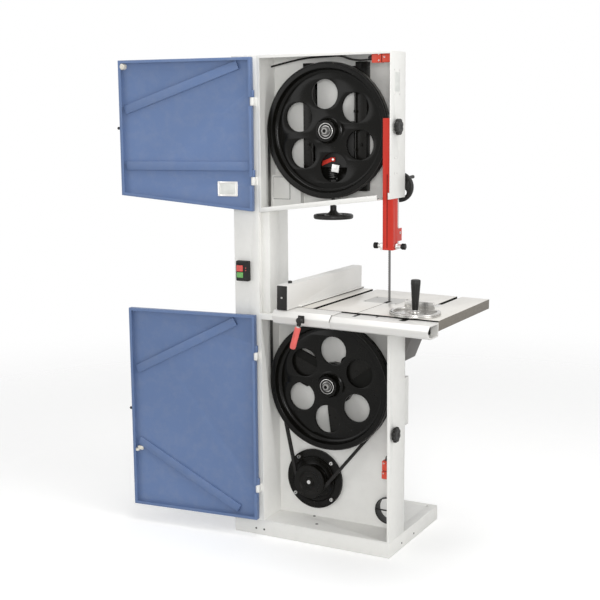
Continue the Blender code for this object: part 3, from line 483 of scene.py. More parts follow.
def makeHeadPattern():  # a round or six-sided head on every point, all facing one way
    made = Pattern("heads on points", sides="Int", radius="Float", height="Float", facing="Vector",
                   paint="Material")
    given = made.given.outputs
    half = made.maths("MULTIPLY", given["height"], 0.5)
    lift = made.node("ShaderNodeCombineXYZ", {}, {"Z": half})
    head = made.node("GeometryNodeMeshCylinder", {}, {"Vertices": given["sides"], "Radius": given["radius"],
                                                      "Depth": given["height"]})
    head = made.node("GeometryNodeTransform", {}, {"Geometry": head, "Translation": lift})
    cap = made.node("GeometryNodeMeshCylinder", {}, {"Vertices": given["sides"], "Depth": given["height"],
                                                     "Radius": made.maths("MULTIPLY", given["radius"], 0.86)})
    higher = made.node("ShaderNodeCombineXYZ", {}, {"Z": made.maths("MULTIPLY", given["height"], 0.64)})
    cap = made.node("GeometryNodeTransform", {}, {"Geometry": cap, "Translation": higher})
    both = made.node("GeometryNodeJoinGeometry", {}, {"Geometry": head})
    made.tree.links.new(cap, both.node.inputs["Geometry"])
    turn = made.node("FunctionNodeAlignRotationToVector", {"axis": "Z"}, {"Vector": given["facing"]})
    copies = made.node("GeometryNodeInstanceOnPoints", {}, {"Points": given["Geometry"], "Instance": both,
                                                            "Rotation": turn})
    return made.finish(copies)


def makeRingPattern():  # bars set round a circle at even steps
    made = Pattern("bars round a circle", count="Int", radius="Float", start="Float", step="Float",
                   bar="Vector",
                   middle="Vector", tilt="Rotation", paint="Material")
    given = made.given.outputs
    index = made.node("GeometryNodeInputIndex")
    angle = made.maths("ADD", made.maths("MULTIPLY", index, given["step"]), given["start"])
    across = made.maths("MULTIPLY", made.maths("COSINE", angle, 0.0), given["radius"])
    upward = made.maths("MULTIPLY", made.maths("SINE", angle, 0.0), given["radius"])
    spot = made.node("ShaderNodeCombineXYZ", {}, {"X": across, "Y": upward})
    points = made.node("GeometryNodePoints", {}, {"Count": given["count"], "Position": spot})
    turn = made.node("FunctionNodeEulerToRotation", {},
                     {0: made.node("ShaderNodeCombineXYZ", {}, {"Z": angle})})
    bar = made.node("GeometryNodeMeshCube", {}, {"Size": given["bar"]})
    copies = made.node("GeometryNodeInstanceOnPoints", {},
                       {"Points": points, "Instance": bar, "Rotation": turn})
    placed = made.node("GeometryNodeTransform", {}, {"Geometry": copies, "Translation": given["middle"],
                                                     "Rotation": given["tilt"]})
    return made.finish(placed)


headPattern = makeHeadPattern()
ringPattern = makeRingPattern()
tiltFor = {"Z": (0.0, 0.0, 0.0), "Y": (math.pi / 2, 0.0, 0.0), "X": (math.pi / 2, 0.0, math.pi / 2)}


def pointsMesh(places):
    mesh = bpy.data.meshes.new("places")
    mesh.from_pydata([[part * mm for part in place] for place in places], [], [])
    return mesh


def heads(name, places, facing, radius, height, paint, body, slot, sides=24, turn=None):
    values = {"sides": sides, "radius": radius * mm, "height": height * mm, "facing": facing, "paint": paint}
    return headPattern.run(name, pointsMesh(places), body, slot, turn, **values)


def ringOfBars(name, axis, middle, count, radius, bar, paint, body, slot, start=0.0, step=None, turn=None):
    step = math.tau / count if step is None else math.radians(step)
    values = {"count": count, "radius": radius * mm, "start": math.radians(start), "step": step,
              "bar": [part * mm for part in bar], "middle": [part * mm for part in middle],
              "tilt": tiltFor[axis], "paint": paint}
    return ringPattern.run(name, pointsMesh([(0, 0, 0)]), body, slot, turn, **values)


def boltsAt(name, places, facing, radius, body, paint=bareSteel, turn=None):  # heads with sockets, each socket a dark hex disc of painted shade
    slot = "bright_steel"
    heads(name, places, facing, radius, radius * 0.8, paint, body, slot, turn=turn)
    lifted = [tuple(part + way * radius * 0.93 for part, way in zip(place, facing)) for place in places]
    heads(name + "_sockets", lifted, facing, radius * 0.48, 0.3, shadeAndPrintBlack, body, slot, sides=6, turn=turn)


print("shape tools ready")


bandWheel = {
    "middleX": 60.5,
    "rimRadius": 262.0,
    "tyreRadius": 266.5,
    "holePitch": 145.0,
    "holeRadius": 58.0,
    "upper": {"height": 1695.0, "firstHole": 38.0, "body": "upper_wheel", "spindleBody": "tension_carriage"},
    "lower": {"height": 665.0, "firstHole": 24.7, "body": "lower_wheel", "spindleBody": "frame"},
}


def makeBandWheel(which):
    size, own = bandWheel, bandWheel[which]
    middle = (size["middleX"], 0.0, own["height"])
    wheel = Form(wheelBlack)
    wheel.spin("Y", middle, [
        (size["rimRadius"], -178), (size["rimRadius"], -211), (260.8, -212), (245.2, -212), (243.6, -210.8),
        (241.5, -196), (238.6, -188.5), (233.5, -184.4), (228, -183.2), (228, -171), (239, -171.4),
        (243, -178),
    ], 160, closed=True)
    loops = [ringLoop(middle[0], middle[2], 229.5, 128), ringLoop(middle[0], middle[2], 41, 64)]
    for hole in range(6):
        angle = math.radians(own["firstHole"] + 60 * hole)
        loops.append(ringLoop(middle[0] + size["holePitch"] * math.cos(angle),
                              middle[2] + size["holePitch"] * math.sin(angle), size["holeRadius"], 64))
    wheel.plate("XZ", loops, -183.2, -171, 2.4)
    wheel.spin("Y", middle, [
        (60, -182.6), (54, -184.4), (48.5, -188.5), (45.2, -194), (43.6, -202), (42.8, -214.6),
        (41.6, -216), (32.6, -216), (31.4, -214.8), (31.4, -197.4), (16, -197.4), (16, -160), (42, -160),
        (43, -172), (60, -172),
    ], 96, closed=True)
    wheel.done(which + "WheelCasting", own["body"], "black_paint", (which + "_wheel",))

    tyre = Form(finish["rubber"])
    tyre.spin("Y", middle, [
        (262.3, -178.6), (265.4, -178.4), (266.2, -181), (266.45, -188), (266.5, -195), (266.45, -202),
        (266.2, -209), (265.4, -211.6), (262.3, -211.4),
    ], 160, closed=True)
    tyre.done(which + "TyreBand", own["body"], "rubber", (which + "_tyre",))

    bearing = Form(bareSteel, finish["rubber"], shadeAndPrintBlack)
    bearing.spin("Y", middle,
                 [(31.0, -198), (31.0, -213.6), (30.4, -214), (29.0, -214), (28.6, -213.6), (28.6, -198)],
                 72, closed=True)
    bearing.use(1).spin("Y", middle, [(28.5, -199), (28.5, -212.9), (21.2, -212.9), (21.2, -199)], 72,
                        closed=True)
    bearing.use(0).spin("Y", middle, [(21.0, -198), (21.0, -213.7), (20.6, -214), (18.8, -214), (18.6, -198)],
                        72, closed=True)
    bearing.done(which + "BallBearing", own["body"], "bright_steel", (which + "_bearing",))


def makeSpindle(which):
    own = bandWheel[which]
    middle = (bandWheel["middleX"], 0.0, own["height"])
    low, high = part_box(which + "_axle")
    back = high.y / mm
    if which == "upper":
        flange, face, step = 30.0, back - 1.5, back - 1.5
    else:
        flange, face, step = (high.x - low.x) / 2 / mm, -112.4, -113
    spindle = Form(springSteel, shadeAndPrintBlack, dullSteel)
    spindle.spin("Y", middle, [
        (0, back), (flange, back), (flange, face), (15, step), (15, -214), (14.2, -215.4), (14.2, -216.6),
        (18.5, -216.8), (18.5, -218.8), (17.9, -219.2), (0, -219.2),
    ], 64)
    spindle.use(2).spin("Y", middle,
                        [(13.6, -219), (14.4, -220), (14.4, -224.6), (12.8, -225.8), (8.4, -225.9),
                         (8.0, -225.2),
                         (8.0, -219)], 6, closed=True)
    # dark centre of the nut: painted shade of its hole
    spindle.use(1).spin("Y", middle,
                        [(0, -218), (8.1, -218), (8.1, -223.6), (7.2, -224.4), (3.0, -224.4), (2.6, -223),
                         (0, -222.4)], 40)
    spindle.done(which + "Spindle", own["spindleBody"], "bright_steel", (which + "_axle",))


def makeDriveWeb():  # the pulley's broad spokes, seen through the band wheel
    size, own = bandWheel, bandWheel["lower"]
    web = Form(shadeAndPrintBlack)
    for angle in (157, 37, -83):
        middle = Vector((size["middleX"], 0, own["height"])) * mm
        turn = Matrix.Translation(middle) @ Matrix.Rotation(math.radians(-angle), 4, "Y")
        below, above = {157: (-66, 66), 37: (-96, 62), -83: (-34, 34)}[angle]
        web.plate("XZ", [[(60, -30), (100, below), (206, below), (206, above), (100, above), (60, 30)]],
                  -164.8, -155.2, 1.2, turn)
    web.done("drivePulleyWeb", "lower_wheel", "black_paint")


makeDriveWeb()
for which in ("upper", "lower"):
    makeBandWheel(which)
    makeSpindle(which)
print("band wheels made")

drive = {"motorX": -46.0, "motorZ": 235.0, "boltPitch": 114.0, "boltTurn": (44, 129, 219, 316), "fins": 40}


def makeMotor():
    size = drive
    middle = (size["motorX"], 0.0, size["motorZ"])
    flange = Form(finish["black_paint"])
    flange.spin("Y", middle, [
        (0, -112.4), (127.4, -112.4), (128, -113), (128, -124.8), (127, -126), (100, -126), (98.6, -125),
        (96, -121.6), (92, -121), (88, -121), (86.5, -122.6), (82, -122.6), (80.5, -121), (68, -121),
        (64, -123), (61, -131), (59.5, -132), (21, -132), (20, -133), (20, -141), (19, -142), (0, -142),
    ], 128)
    flange.done("motorFlangeRing", "frame", "black_paint", ("motor_flange",))
    bolts = [(size["motorX"] + size["boltPitch"] * math.cos(math.radians(turn)), -126.0,
              size["motorZ"] + size["boltPitch"] * math.sin(math.radians(turn))) for turn in size["boltTurn"]]
    heads("motorFlangeWashers", bolts, (0, -1, 0), 8.6, 1.2, springSteel, "frame", "bright_steel")
    boltsAt("motorFlangeBolts", [(x, -127.0, z) for x, y, z in bolts], (0, -1, 0), 7.2, "frame")

    pulley = Form(finish["black_paint"], bareSteel, shadeAndPrintBlack)
    pulley.spin("Y", middle, [
        (8.4, -146), (69.4, -146), (70, -146.6), (70, -152), (56.5, -153.4), (56, -160), (56.5, -166.6),
        (70, -168), (70, -173.2), (69, -174), (47, -174), (45.2, -173), (43.6, -170.6), (41, -169.6),
        (22, -169.6), (20.4, -170.6), (19.2, -175), (18, -176), (8.4, -176),
    ], 96, closed=True)
    pulley.use(1).spin("Y", middle,
                       [(0, -147), (8.3, -147), (8.3, -177.8), (7.4, -178.8), (1.6, -178.8), (0, -177)], 48)
    pulley.use(2).block((middle[0] - 2, -176.6, middle[2] + 8), (middle[0] + 2, -175.6, middle[2] + 12), 0)
    pulley.done("motorPulley", "motor_pulley", "black_paint", ("motor_pulley",))

    housing = Form(finish["black_paint"])
    housing.spin("Y", middle,
                 [(0, -111), (100, -111), (101, -110), (101, -100), (92, -98), (92, 128), (100, 129),
                  (101, 131), (101, 160), (98, 201), (90, 211), (84, 212), (0, 212)], 96)
    housing.block((middle[0] - 55, -40, middle[2] + 85), (middle[0] + 55, 70, middle[2] + 142), 3)
    housing.block((middle[0] - 50, -35, middle[2] + 139), (middle[0] + 50, 65, middle[2] + 145), 2)
    housing.done("motorBody", "frame", "black_paint", ("motor_housing",))
    ringOfBars("motorFins", "Y", (middle[0], 14, middle[2]), size["fins"], 95.5, (9.0, 2.6, 224.0),
               finish["black_paint"], "frame", "black_paint", start=4)
    # dark bars on the fan cover: painted shade in its slots
    for ring, radius in enumerate((36, 52, 68)):
        ringOfBars(f"motorFanSlots{ring}", "Y", (middle[0], 212, middle[2]), 8 + 6 * ring, radius,
                   (11.0, 5.0, 0.8),
                   shadeAndPrintBlack, "frame", "black_plastic")


makeMotor()


def makeBladeTeeth():  # small pointed teeth along the band's front edge
    made = Pattern("teeth along a band", pitch="Float", deep="Float", paint="Material")
    given = made.given.outputs
    line = made.node("GeometryNodeMeshToCurve", {}, {"Mesh": given["Geometry"]})
    spaced = made.node("GeometryNodeResampleCurve", {"mode": "LENGTH"},
                       {"Curve": line, "Length": given["pitch"]})
    along = made.node("GeometryNodeInputTangent")
    front = made.node("FunctionNodeAlignRotationToVector", {"axis": "Z"}, {"Vector": (0, -1, 0)})
    turned = made.node("FunctionNodeAlignRotationToVector", {"axis": "X", "pivot_axis": "Z"},
                       {"Rotation": front, "Vector": along})
    wide = made.maths("MULTIPLY", given["pitch"], 0.46)
    tooth = made.node("GeometryNodeMeshCone", {}, {"Vertices": 4, "Radius Top": 0.0, "Radius Bottom": wide,
                                                   "Depth": given["deep"]})
    thin = made.node("GeometryNodeTransform", {}, {"Geometry": tooth, "Scale": (1.0, 0.13, 1.0)})
    copies = made.node("GeometryNodeInstanceOnPoints", {},
                       {"Points": spaced, "Instance": thin, "Rotation": turned})
    made.finish(copies)
    reach = bandWheel["tyreRadius"] + 1.25
    loop = []
    for height, start in ((bandWheel["upper"]["height"], 0), (bandWheel["lower"]["height"], 180)):
        for step in range(37):
            angle = math.radians(start + 5 * step)
            loop.append((bandWheel["middleX"] + reach * math.cos(angle), -202.6,
                         height + reach * math.sin(angle)))
    mesh = bpy.data.meshes.new("band line")
    mesh.from_pydata([[part * mm for part in spot] for spot in loop],
                     [(i, (i + 1) % len(loop)) for i in range(len(loop))], [])
    made.run("bladeTeeth", mesh, "frame", "blade_steel", pitch=0.0085, deep=0.0034,
             paint=finish["blade_steel"])


makeBladeTeeth()
print("motor and blade made")


for node in ("base", "column", "upper_box", "lower_box", "blade_run_cover"):
    copyPart(node, node + "Sheet", "frame", "white_paint", finish["white_paint"], 1.1)
for node in ("upper_door", "lower_door"):
    copyPart(node, node + "Pan", node, "blue_paint", finish["blue_paint"], 0.9)
for node in ("upper_door_diagonal_brace", "upper_door_cross_brace"):
    copyPart(node, node + "Strip", "upper_door", "blue_paint", finish["blue_paint"], 1.2)
for node in ("lower_door_upper_brace", "lower_door_lower_brace"):
    copyPart(node, node + "Strip", "lower_door", "blue_paint", finish["blue_paint"], 1.2)
print("sheet metal made")

door = {"hingeX": -232.0, "hingeY": -281.0, "upperOpen": 172.0, "lowerOpen": 174.5, "insideFace": -3.5}


def doorTurn(which):  # from the closed door's own place to where it stands open
    turn = Matrix.Rotation(math.radians(-door[which + "Open"]), 4, "Z")
    return Matrix.Translation(Vector((door["hingeX"], door["hingeY"], 0)) * mm) @ turn


def makeDoorFittings():
    face = door["insideFace"]
    plate = Form(bareSteel, plateWhite)
    turn = doorTurn("upper")
    plate.plate("XZ", [rectangle(70, 1434, 158, 1494, 3), rectangle(80, 1442, 148, 1486, 1)], face,
                face + 2.2, 0.5, turn)
    plate.use(1).plate("XZ", [rectangle(79, 1441, 149, 1487)], face, face + 1.2, 0.1, turn)
    plate.done("blankNameplate", "upper_door", "aluminium")
    inward = turn.to_3x3() @ Vector((0, 1, 0))
    corners = [turn @ (Vector((x, face + 2.2, z)) * mm) for x in (75, 153) for z in (1438.5, 1489.5)]
    heads("nameplateScrews", [tuple(spot / mm) for spot in corners], tuple(inward), 3.4, 1.6, bareSteel,
          "upper_door", "bright_steel", 16)

    bumper = Form(rubberWhite)
    bumper.spin("Y", (573, 0, 1961), [(0, face), (13, face), (13, 15), (11.5, 18), (7, 19.4), (0, 19.8)], 40)
    bmesh.ops.transform(bumper.mesh, matrix=turn, verts=bumper.mesh.verts)
    bumper.done("doorBumper", "upper_door", "rubber")

    catch = Form(rubberWhite)
    catch.block((548, face, 322), (574, 10, 338), 2.5, doorTurn("lower"))
    catch.block((566, face, 316), (588, 16, 326), 2.5, doorTurn("lower"))
    catch.done("doorCatch", "lower_door", "rubber")

    for which, height in (("upper", 1710), ("lower", 506)):
        stub = Form(finish["black_plastic"])
        stub.spin("X", (0, 7, height), [(0, 590.4), (6.0, 590.4), (6.0, 603.0), (5.0, 604.8), (0, 604.8)], 24)
        bmesh.ops.transform(stub.mesh, matrix=doorTurn(which), verts=stub.mesh.verts)
        stub.done(which + "LatchStub", which + "_door", "black_plastic")


makeDoorFittings()


def makeBodyFittings():
    cover = Form(shadeAndPrintBlack, finish["white_paint"])
    # the dark plate behind the cover shows round its edge as a painted shadow gap
    cover.plate("XZ", [rectangle(-212.5, 1417.5, -135.5, 1508.5)], -151.2, -149.4, 0.1)
    cover.use(1).plate("XZ", [rectangle(-211, 1419, -137, 1507, 1)], -152.6, -150, 0.5)
    cover.done("inspectionCover", "frame", "white_paint")
    wall = 360.0
    label = Form(plateWhite)
    label.plate("YZ", [rectangle(-222, 1843, -176, 1915, 2)], wall + 0.1, wall + 0.6, 0.2)
    label.done("blankSideLabel", "frame", "white_paint")
    marks = [(wall, y, z) for y in (-222, -176) for z in (1834, 1924)]
    marks += [(wall, y, z) for z in (1592, 1534) for y in (-222, -198)]
    heads("sideScrews", marks, (1, 0, 0), 3.6, 1.0, bareSteel, "frame", "bright_steel", 16)
    # dark discs: painted shade inside holes of the base and floor
    heads("baseSideHoles", [(wall, -132, 23), (wall, -5, 22)], (1, 0, 0), 4.2, 0.3, shadeAndPrintBlack, "frame",
          "white_paint")
    heads("baseFrontHoles", [(-256, -260, 26), (-217, -260, 26)], (0, -1, 0), 4.2, 0.3, shadeAndPrintBlack, "frame",
          "white_paint")
    heads("floorHoles", [(4, -201, 67.4), (-50, -120, 67.4)], (0, 0, 1), 6.5, 0.3, shadeAndPrintBlack, "frame",
          "white_paint")
    bars = [(x, -157.0, z) for x in (-45, 188) for z in (1490, 1640, 1900, 1945)]
    heads("bracketWashers", bars, (0, -1, 0), 9.5, 1.2, finish["black_paint"], "frame", "black_paint")
    boltsAt("bracketBolts", [(x, y - 1.2, z) for x, y, z in bars], (0, -1, 0), 7, "frame",
            paint=finish["black_paint"])


makeBodyFittings()


def lobes(count, depth):  # a scalloped rim
    return lambda angle: 1.0 - depth * (0.5 + 0.5 * math.cos(count * angle)) ** 2


def makeLatchKnobs():
    for which, depth, height in (("upper", -214, 1710), ("lower", -226, 506)):
        knob = Form(finish["black_plastic"])
        place = (360, depth, height)
        knob.spin("X", place, [(18, 6), (30.5, 7.6), (32, 9), (32, 17), (30.5, 20), (24, 21.4), (18, 6)], 96,
                  False, lobes(8, 0.13))
        knob.spin("X", place,
                  [(0, 20), (8, 20), (10, 21.6), (21, 21.6), (23.5, 19), (18, 5), (14, 1.5), (6, 1), (6, -6),
                   (0, -6)], 64)
        knob.done(which + "LatchHandle", which + "_latch", "black_plastic", (which + "_latch_knob",))


makeLatchKnobs()


def makeSwitch():
    box = Form(finish["black_plastic"], shadeAndPrintBlack)
    box.plate("XZ", [rectangle(-324, 1086, -264, 1170, 5)], -266, -260.4, 1.0)
    box.plate("XZ", [rectangle(-323.6, 1086.4, -264.4, 1169.6, 5),
                     rectangle(-321.3, 1098.4, -289.6, 1152.6, 3)],
              -277.2, -265.6, 0.5)
    box.use(1).plate("XZ", [rectangle(-322, 1097, -289, 1154)], -266.6, -265.8, 0.1)
    box.done("switchHousing", "frame", "black_plastic", ("switch_box",))
    for name, body, low, high, paint in (("stopButtonCap", "stop_button", 1126, 1151, stopRed),
                                         ("startButtonCap", "start_button", 1100, 1122,
                                          finish["green_plastic"])):
        near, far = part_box(body)
        cap = Form(paint)
        cap.plate("XZ", [rectangle(near.x / mm, low, far.x / mm, high, 2)], near.y / mm, far.y / mm, 0.9)
        for rib in range(5):
            height = low + 4 + (high - low - 8) * rib / 4
            cap.block((near.x / mm + 4, near.y / mm - 0.5, height - 0.9),
                      (far.x / mm - 4, near.y / mm + 0.6, height + 0.9), 0.3)
        cap.done(name, body, "red_plastic" if paint is stopRed else "green_plastic", (body,))
    heads("switchLamps", [(-277, -277.3, 1131), (-277, -277.3, 1141)], (0, -1, 0), 2.1, 0.5, stopRed,
          "frame", "red_plastic", 16)
    boltsAt("switchScrews", [(-270.5, -277.0, 1163), (-317.5, -277.0, 1093)], (0, -1, 0), 1.9, "frame",
            paint=finish["black_plastic"])


makeSwitch()


def makeLimitSwitches():
    for which, sideways in (("upper", True), ("lower", False)):
        node = which + "_limit_switch"
        low, high = (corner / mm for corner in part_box(node))
        red = finish["red_plastic"]
        body = Form(red, shadeAndPrintBlack)
        if sideways:
            split = low.x + 0.52 * (high.x - low.x)
            body.block(tuple(low), (split - 1, high.y, high.z), 2.0)
            body.block((split + 1, low.y + 1.5, low.z + 1), tuple(high), 2.0)
            # a dark block in the gap between the two halves: painted shade
            body.use(1).block((split - 2, low.y + 3, low.z + 3), (split + 2, high.y - 1, high.z - 1), 0)
            screws = [(split - 10, low.y, low.z + 8), (split - 10, low.y, high.z - 8),
                      (split + 12, low.y + 1.5, low.z + 20)]
        else:
            split = low.z + 0.44 * (high.z - low.z)
            body.block(tuple(low), (high.x, high.y, split - 1), 2.0)
            body.block((low.x + 1, low.y + 1.5, split + 1), tuple(high), 2.0)
            # a dark block in the gap between the two halves: painted shade
            body.use(1).block((low.x + 3, low.y + 3, split - 2), (high.x - 1, high.y - 1, split + 2), 0)
            screws = [(low.x + 8, low.y, split - 9), (low.x + 9, low.y + 1.5, high.z - 9),
                      (high.x - 12, low.y + 1.5, high.z - 9)]
        body.done(which + "DoorSwitch", "frame", "red_plastic", (node,))
        boltsAt(which + "DoorSwitchScrews", screws, (0, -1, 0), 3.0, "frame")
    for which, axis, way in (("upper", "X", -1), ("lower", "Z", 1)):
        low, high = (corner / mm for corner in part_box(which + "_limit_switch"))
        place = (low + high) / 2
        if axis == "X":
            place.x = low.x
        else:
            place.z = high.z
        gland = Form(finish["black_plastic"])
        steps = ((0, 0), (9.5, 0), (9.5, 9), (7.5, 15), (5, 19), (0, 19))
        gland.spin(axis, place, [(radius, way * along) for radius, along in steps], 24)
        gland.done(which + "CableGland", "frame", "black_plastic")


makeLimitSwitches()


def makeDustPort():
    place = (290.0, 0.0, 145.0)
    port = Form(finish["black_plastic"])
    low, high = (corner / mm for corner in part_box("dust_port"))
    wide = (high.x - low.x) / 2
    port.spin("Y", place,
              [(52, low.y), (wide - 0.6, low.y), (wide, low.y + 0.8), (wide, low.y + 4), (55, low.y + 5),
               (55, high.y - 5), (56, high.y - 4), (56, high.y), (51, high.y), (51, low.y + 3)],
              96, closed=True)
    port.block((place[0] - 52, low.y + 1, place[2] - 2.2), (place[0] + 52, low.y + 8, place[2] + 2.2), 0.5)
    port.block((place[0] - 2.2, low.y + 1, place[2] - 52), (place[0] + 2.2, low.y + 8, place[2] + 52), 0.5)
    port.done("dustOutlet", "frame", "black_plastic", ("dust_port",))


makeDustPort()
print("body fittings made")


tension = {
    "wheelPlace": (60.5, -147.0, 1354.0),
    "wheelArms": 4,
    "threadRidges": 191,
    "springFoot": 1505.5,
    "springTall": 40.0,
    "springRadius": 15.8,
    "springTurns": 5,
}


def makeTension():
    size = tension
    place = size["wheelPlace"]
    wheel = Form(finish["black_plastic"])
    wheel.spin("Z", place, [(70, 5), (73, 8), (77, 8.4), (80, 4), (80, -4), (77, -8.4), (73, -8), (70, -5)],
               96, closed=True)
    for arm in range(size["wheelArms"]):
        around = Matrix.Rotation(math.tau / size["wheelArms"] * arm, 4, "Z")
        turn = Matrix.Translation(Vector(place) * mm) @ around
        wheel.plate("XY", [[(10, -13), (40, -8), (72, -9), (72, 9), (40, 8), (10, 13)]], -1, 8, 2.5, turn)
    wheel.spin("Z", place,
               [(0, 44), (11.5, 44), (13, 42.6), (13, 24), (18, 17), (30, 10), (36, 6), (36, -1), (28, 0),
                (16, -1), (15, -2), (0, -2)], 64)
    wheel.done("tensionHandwheel", "tension_handwheel", "black_plastic", ("tension_handwheel",), crease=40)
    screw = Form(springSteel)
    thread = [(7.9 if step % 2 else 6.9, 45 + step) for step in range(size["threadRidges"])]
    screw.spin("Z", place, [(0, 44), (6.9, 44)] + thread + [(0, 236)], 24)
    screw.done("tensionScrew", "tension_handwheel", "bright_steel")

    coil, last = [], 16 * size["springTurns"]
    for step in range(last + 1):
        angle = math.tau * step / 16
        coil.append((place[0] + size["springRadius"] * math.cos(angle),
                     place[1] + size["springRadius"] * math.sin(angle),
                     size["springFoot"] + size["springTall"] * step / last))
    spring = Form(springSteel).pipe(coil, 2.9, 2)
    spring.done("tensionSpringCoil", "tension_carriage", "bright_steel", ("tension_spring",))

    pointer = Form(finish["red_paint"])
    pointer.plate("XZ", [[(10, 1553), (14, 1572), (60, 1590), (76, 1590), (76, 1574), (62, 1574)]], -164,
                  -157.4, 0.8)
    pointer.done("tensionPointer", "tension_carriage", "red_paint", ("tension_pointer",))
    heads("pointerScrew", [(69, -164, 1582)], (0, -1, 0), 4.6, 2.4, bareSteel, "tension_carriage",
          "bright_steel")
    block = Form(silverCast)
    tilt = Matrix.Translation(Vector((80, 0, 1547)) * mm) @ Matrix.Rotation(math.radians(9), 4, "Y")
    block.block((-16, -168.6, -15), (16, -163, 15), 1.0, tilt)
    block.block((-6, -169.8, -4), (8, -168.4, 12), 0.4, tilt)
    block.done("tensionBlock", "tension_carriage", "bright_steel")
    copyPart("tension_carriage", "tensionSlide", "tension_carriage", "cast_iron", darkCast, 1.5)
    bracket = Form(finish["black_paint"])
    bracket.cadCopy("tension_bracket", 1.2)
    for x in (-24, 166):
        bracket.spin("Z", (x, -160.5, 0), [(0, 1478), (4.5, 1478), (4.5, 1932), (0, 1932)], 20)
        for z in (1496, 1620, 1770, 1912):
            bracket.spin("Z", (x, -160.5, z), [(0, -5), (7.4, -5), (8, -4), (8, 4), (7.4, 5), (0, 5)], 6)
    bracket.done("tensionFrame", "frame", "black_paint", ("tension_bracket",), recalc=False)


makeTension()

guides = {"knobHeight": 1251.0, "knobDepth": -193.0, "crankPlace": (327.0, -100.0, 1475.0), "crankHoles": 3}


def makeGuides():
    copyPart("blade_guard", "bladeGuardShell", "guide_post", "red_paint", finish["red_paint"], 0.7)
    heads("guardBolts", [(353, -151, 1300)], (1, 0, 0), 5.4, 1.8, bareSteel, "guide_post", "bright_steel")
    # the bolt's socket is a dark hex disc of painted shade
    heads("guardBolts_sockets", [(355.1, -151, 1300)], (1, 0, 0), 2.6, 0.2, shadeAndPrintBlack, "guide_post",
          "black_paint", 6)
    copyPart("guide_post", "guidePostBar", "guide_post", "bright_steel", finish["bright_steel"], 1.5)
    shade = Form(shadeAndPrintBlack)
    shade.block((325.2, -217.2, 1244), (331.8, -216.6, 1531), 0)
    shade.done("guardSlotShade", "guide_post", "black_paint")
    copyPart("guide_block", "guideBlockBody", "guide_post", "aluminium", silverCast, 1.2)
    for name, body, end, way in (("left", "left_guide_knob", 312, -1), ("right", "right_guide_knob", 341, 1)):
        reach = 50 if way < 0 else 55
        collar = 14.5
        place = (end, guides["knobDepth"], guides["knobHeight"])
        knob = Form(finish["black_plastic"], bareSteel)
        ridges = [(0, reach), (9.6, reach), (11, reach - 1.2), (11.2, reach - 14.8), (9, reach - 16.5),
                  (9, reach - 19), (0, reach - 19)]
        knob.spin("X", place, [(radius, way * along) for radius, along in ridges], 48)
        knob.use(1).spin("X", place, [(radius, way * along) for radius, along in (
            (0, reach - 18), (8.4, reach - 18), (8.4, collar + 8), (11.0, collar + 7), (11.6, collar + 6),
            (11.6, collar), (6.6, collar),
            (6.6, 0.2), (0, 0.2))], 48)
        knob.done(name + "GuideKnob", body, "black_plastic", (body,))
        ringOfBars(name + "KnobRidges", "X", (end + way * (reach - 8), place[1], place[2]), 24, 11.2,
                   (1.8, 1.4, 13.0),
                   finish["black_plastic"], body, "black_plastic")
    place = guides["crankPlace"]
    crank = Form(finish["black_plastic"], bareSteel)
    crank.spin("Y", place,
               [(49, -8.6), (46.4, -5), (46.4, 3), (50, 9), (54, 10), (58.6, 8), (60, 5), (60, -5),
                (58.6, -7.4), (54, -9)],
               96, closed=True)
    web = [ringLoop(place[0], place[2], 49, 72)]
    for hole in range(guides["crankHoles"]):
        angle = math.radians(360 / guides["crankHoles"] * hole + 75)
        web.append(ringLoop(place[0] + 30 * math.cos(angle), place[2] + 30 * math.sin(angle), 12.5, 32))
    crank.plate("XZ", web, place[1] - 6, place[1] + 3, 1.6)
    crank.spin("Y", place,
               [(0, 10), (11, 10), (12, 9), (14, 3), (14, -6), (13, -17), (6, -17), (6, -46), (0, -46)], 48)
    crank.spin("Y", (place[0] + 38, place[1], place[2] + 38),
               [(0, 50), (5.6, 50), (7, 48.4), (7, 40), (5.2, 12), (5, -4), (0, -4)], 40)
    crank.use(1).spin("Y", place, [(0, 11.4), (4.4, 11.4), (5, 10.8), (5, 9.6), (0, 9.6)], 24)
    crank.done("guideCrankWheel", "guide_crank", "black_plastic", ("guide_crank",), crease=40)
    copyPart("lower_guide", "lowerGuideBody", "frame", "cast_iron", finish["cast_iron"], 1.2)


makeGuides()
print("tension and guides made")


tableSize = {"left": 26.0, "right": 650.0, "front": -484.0, "back": 60.0, "top": 1032.0, "thick": 14.0,
             "tiltX": 327.0,
             "lean": 1.0}
tiltAxis = Vector((tableSize["tiltX"], 0, tableSize["top"])) * mm
leanTurn = (Matrix.Translation(tiltAxis) @ Matrix.Rotation(math.radians(tableSize["lean"]), 4, "Y")
            @ Matrix.Translation(-tiltAxis))


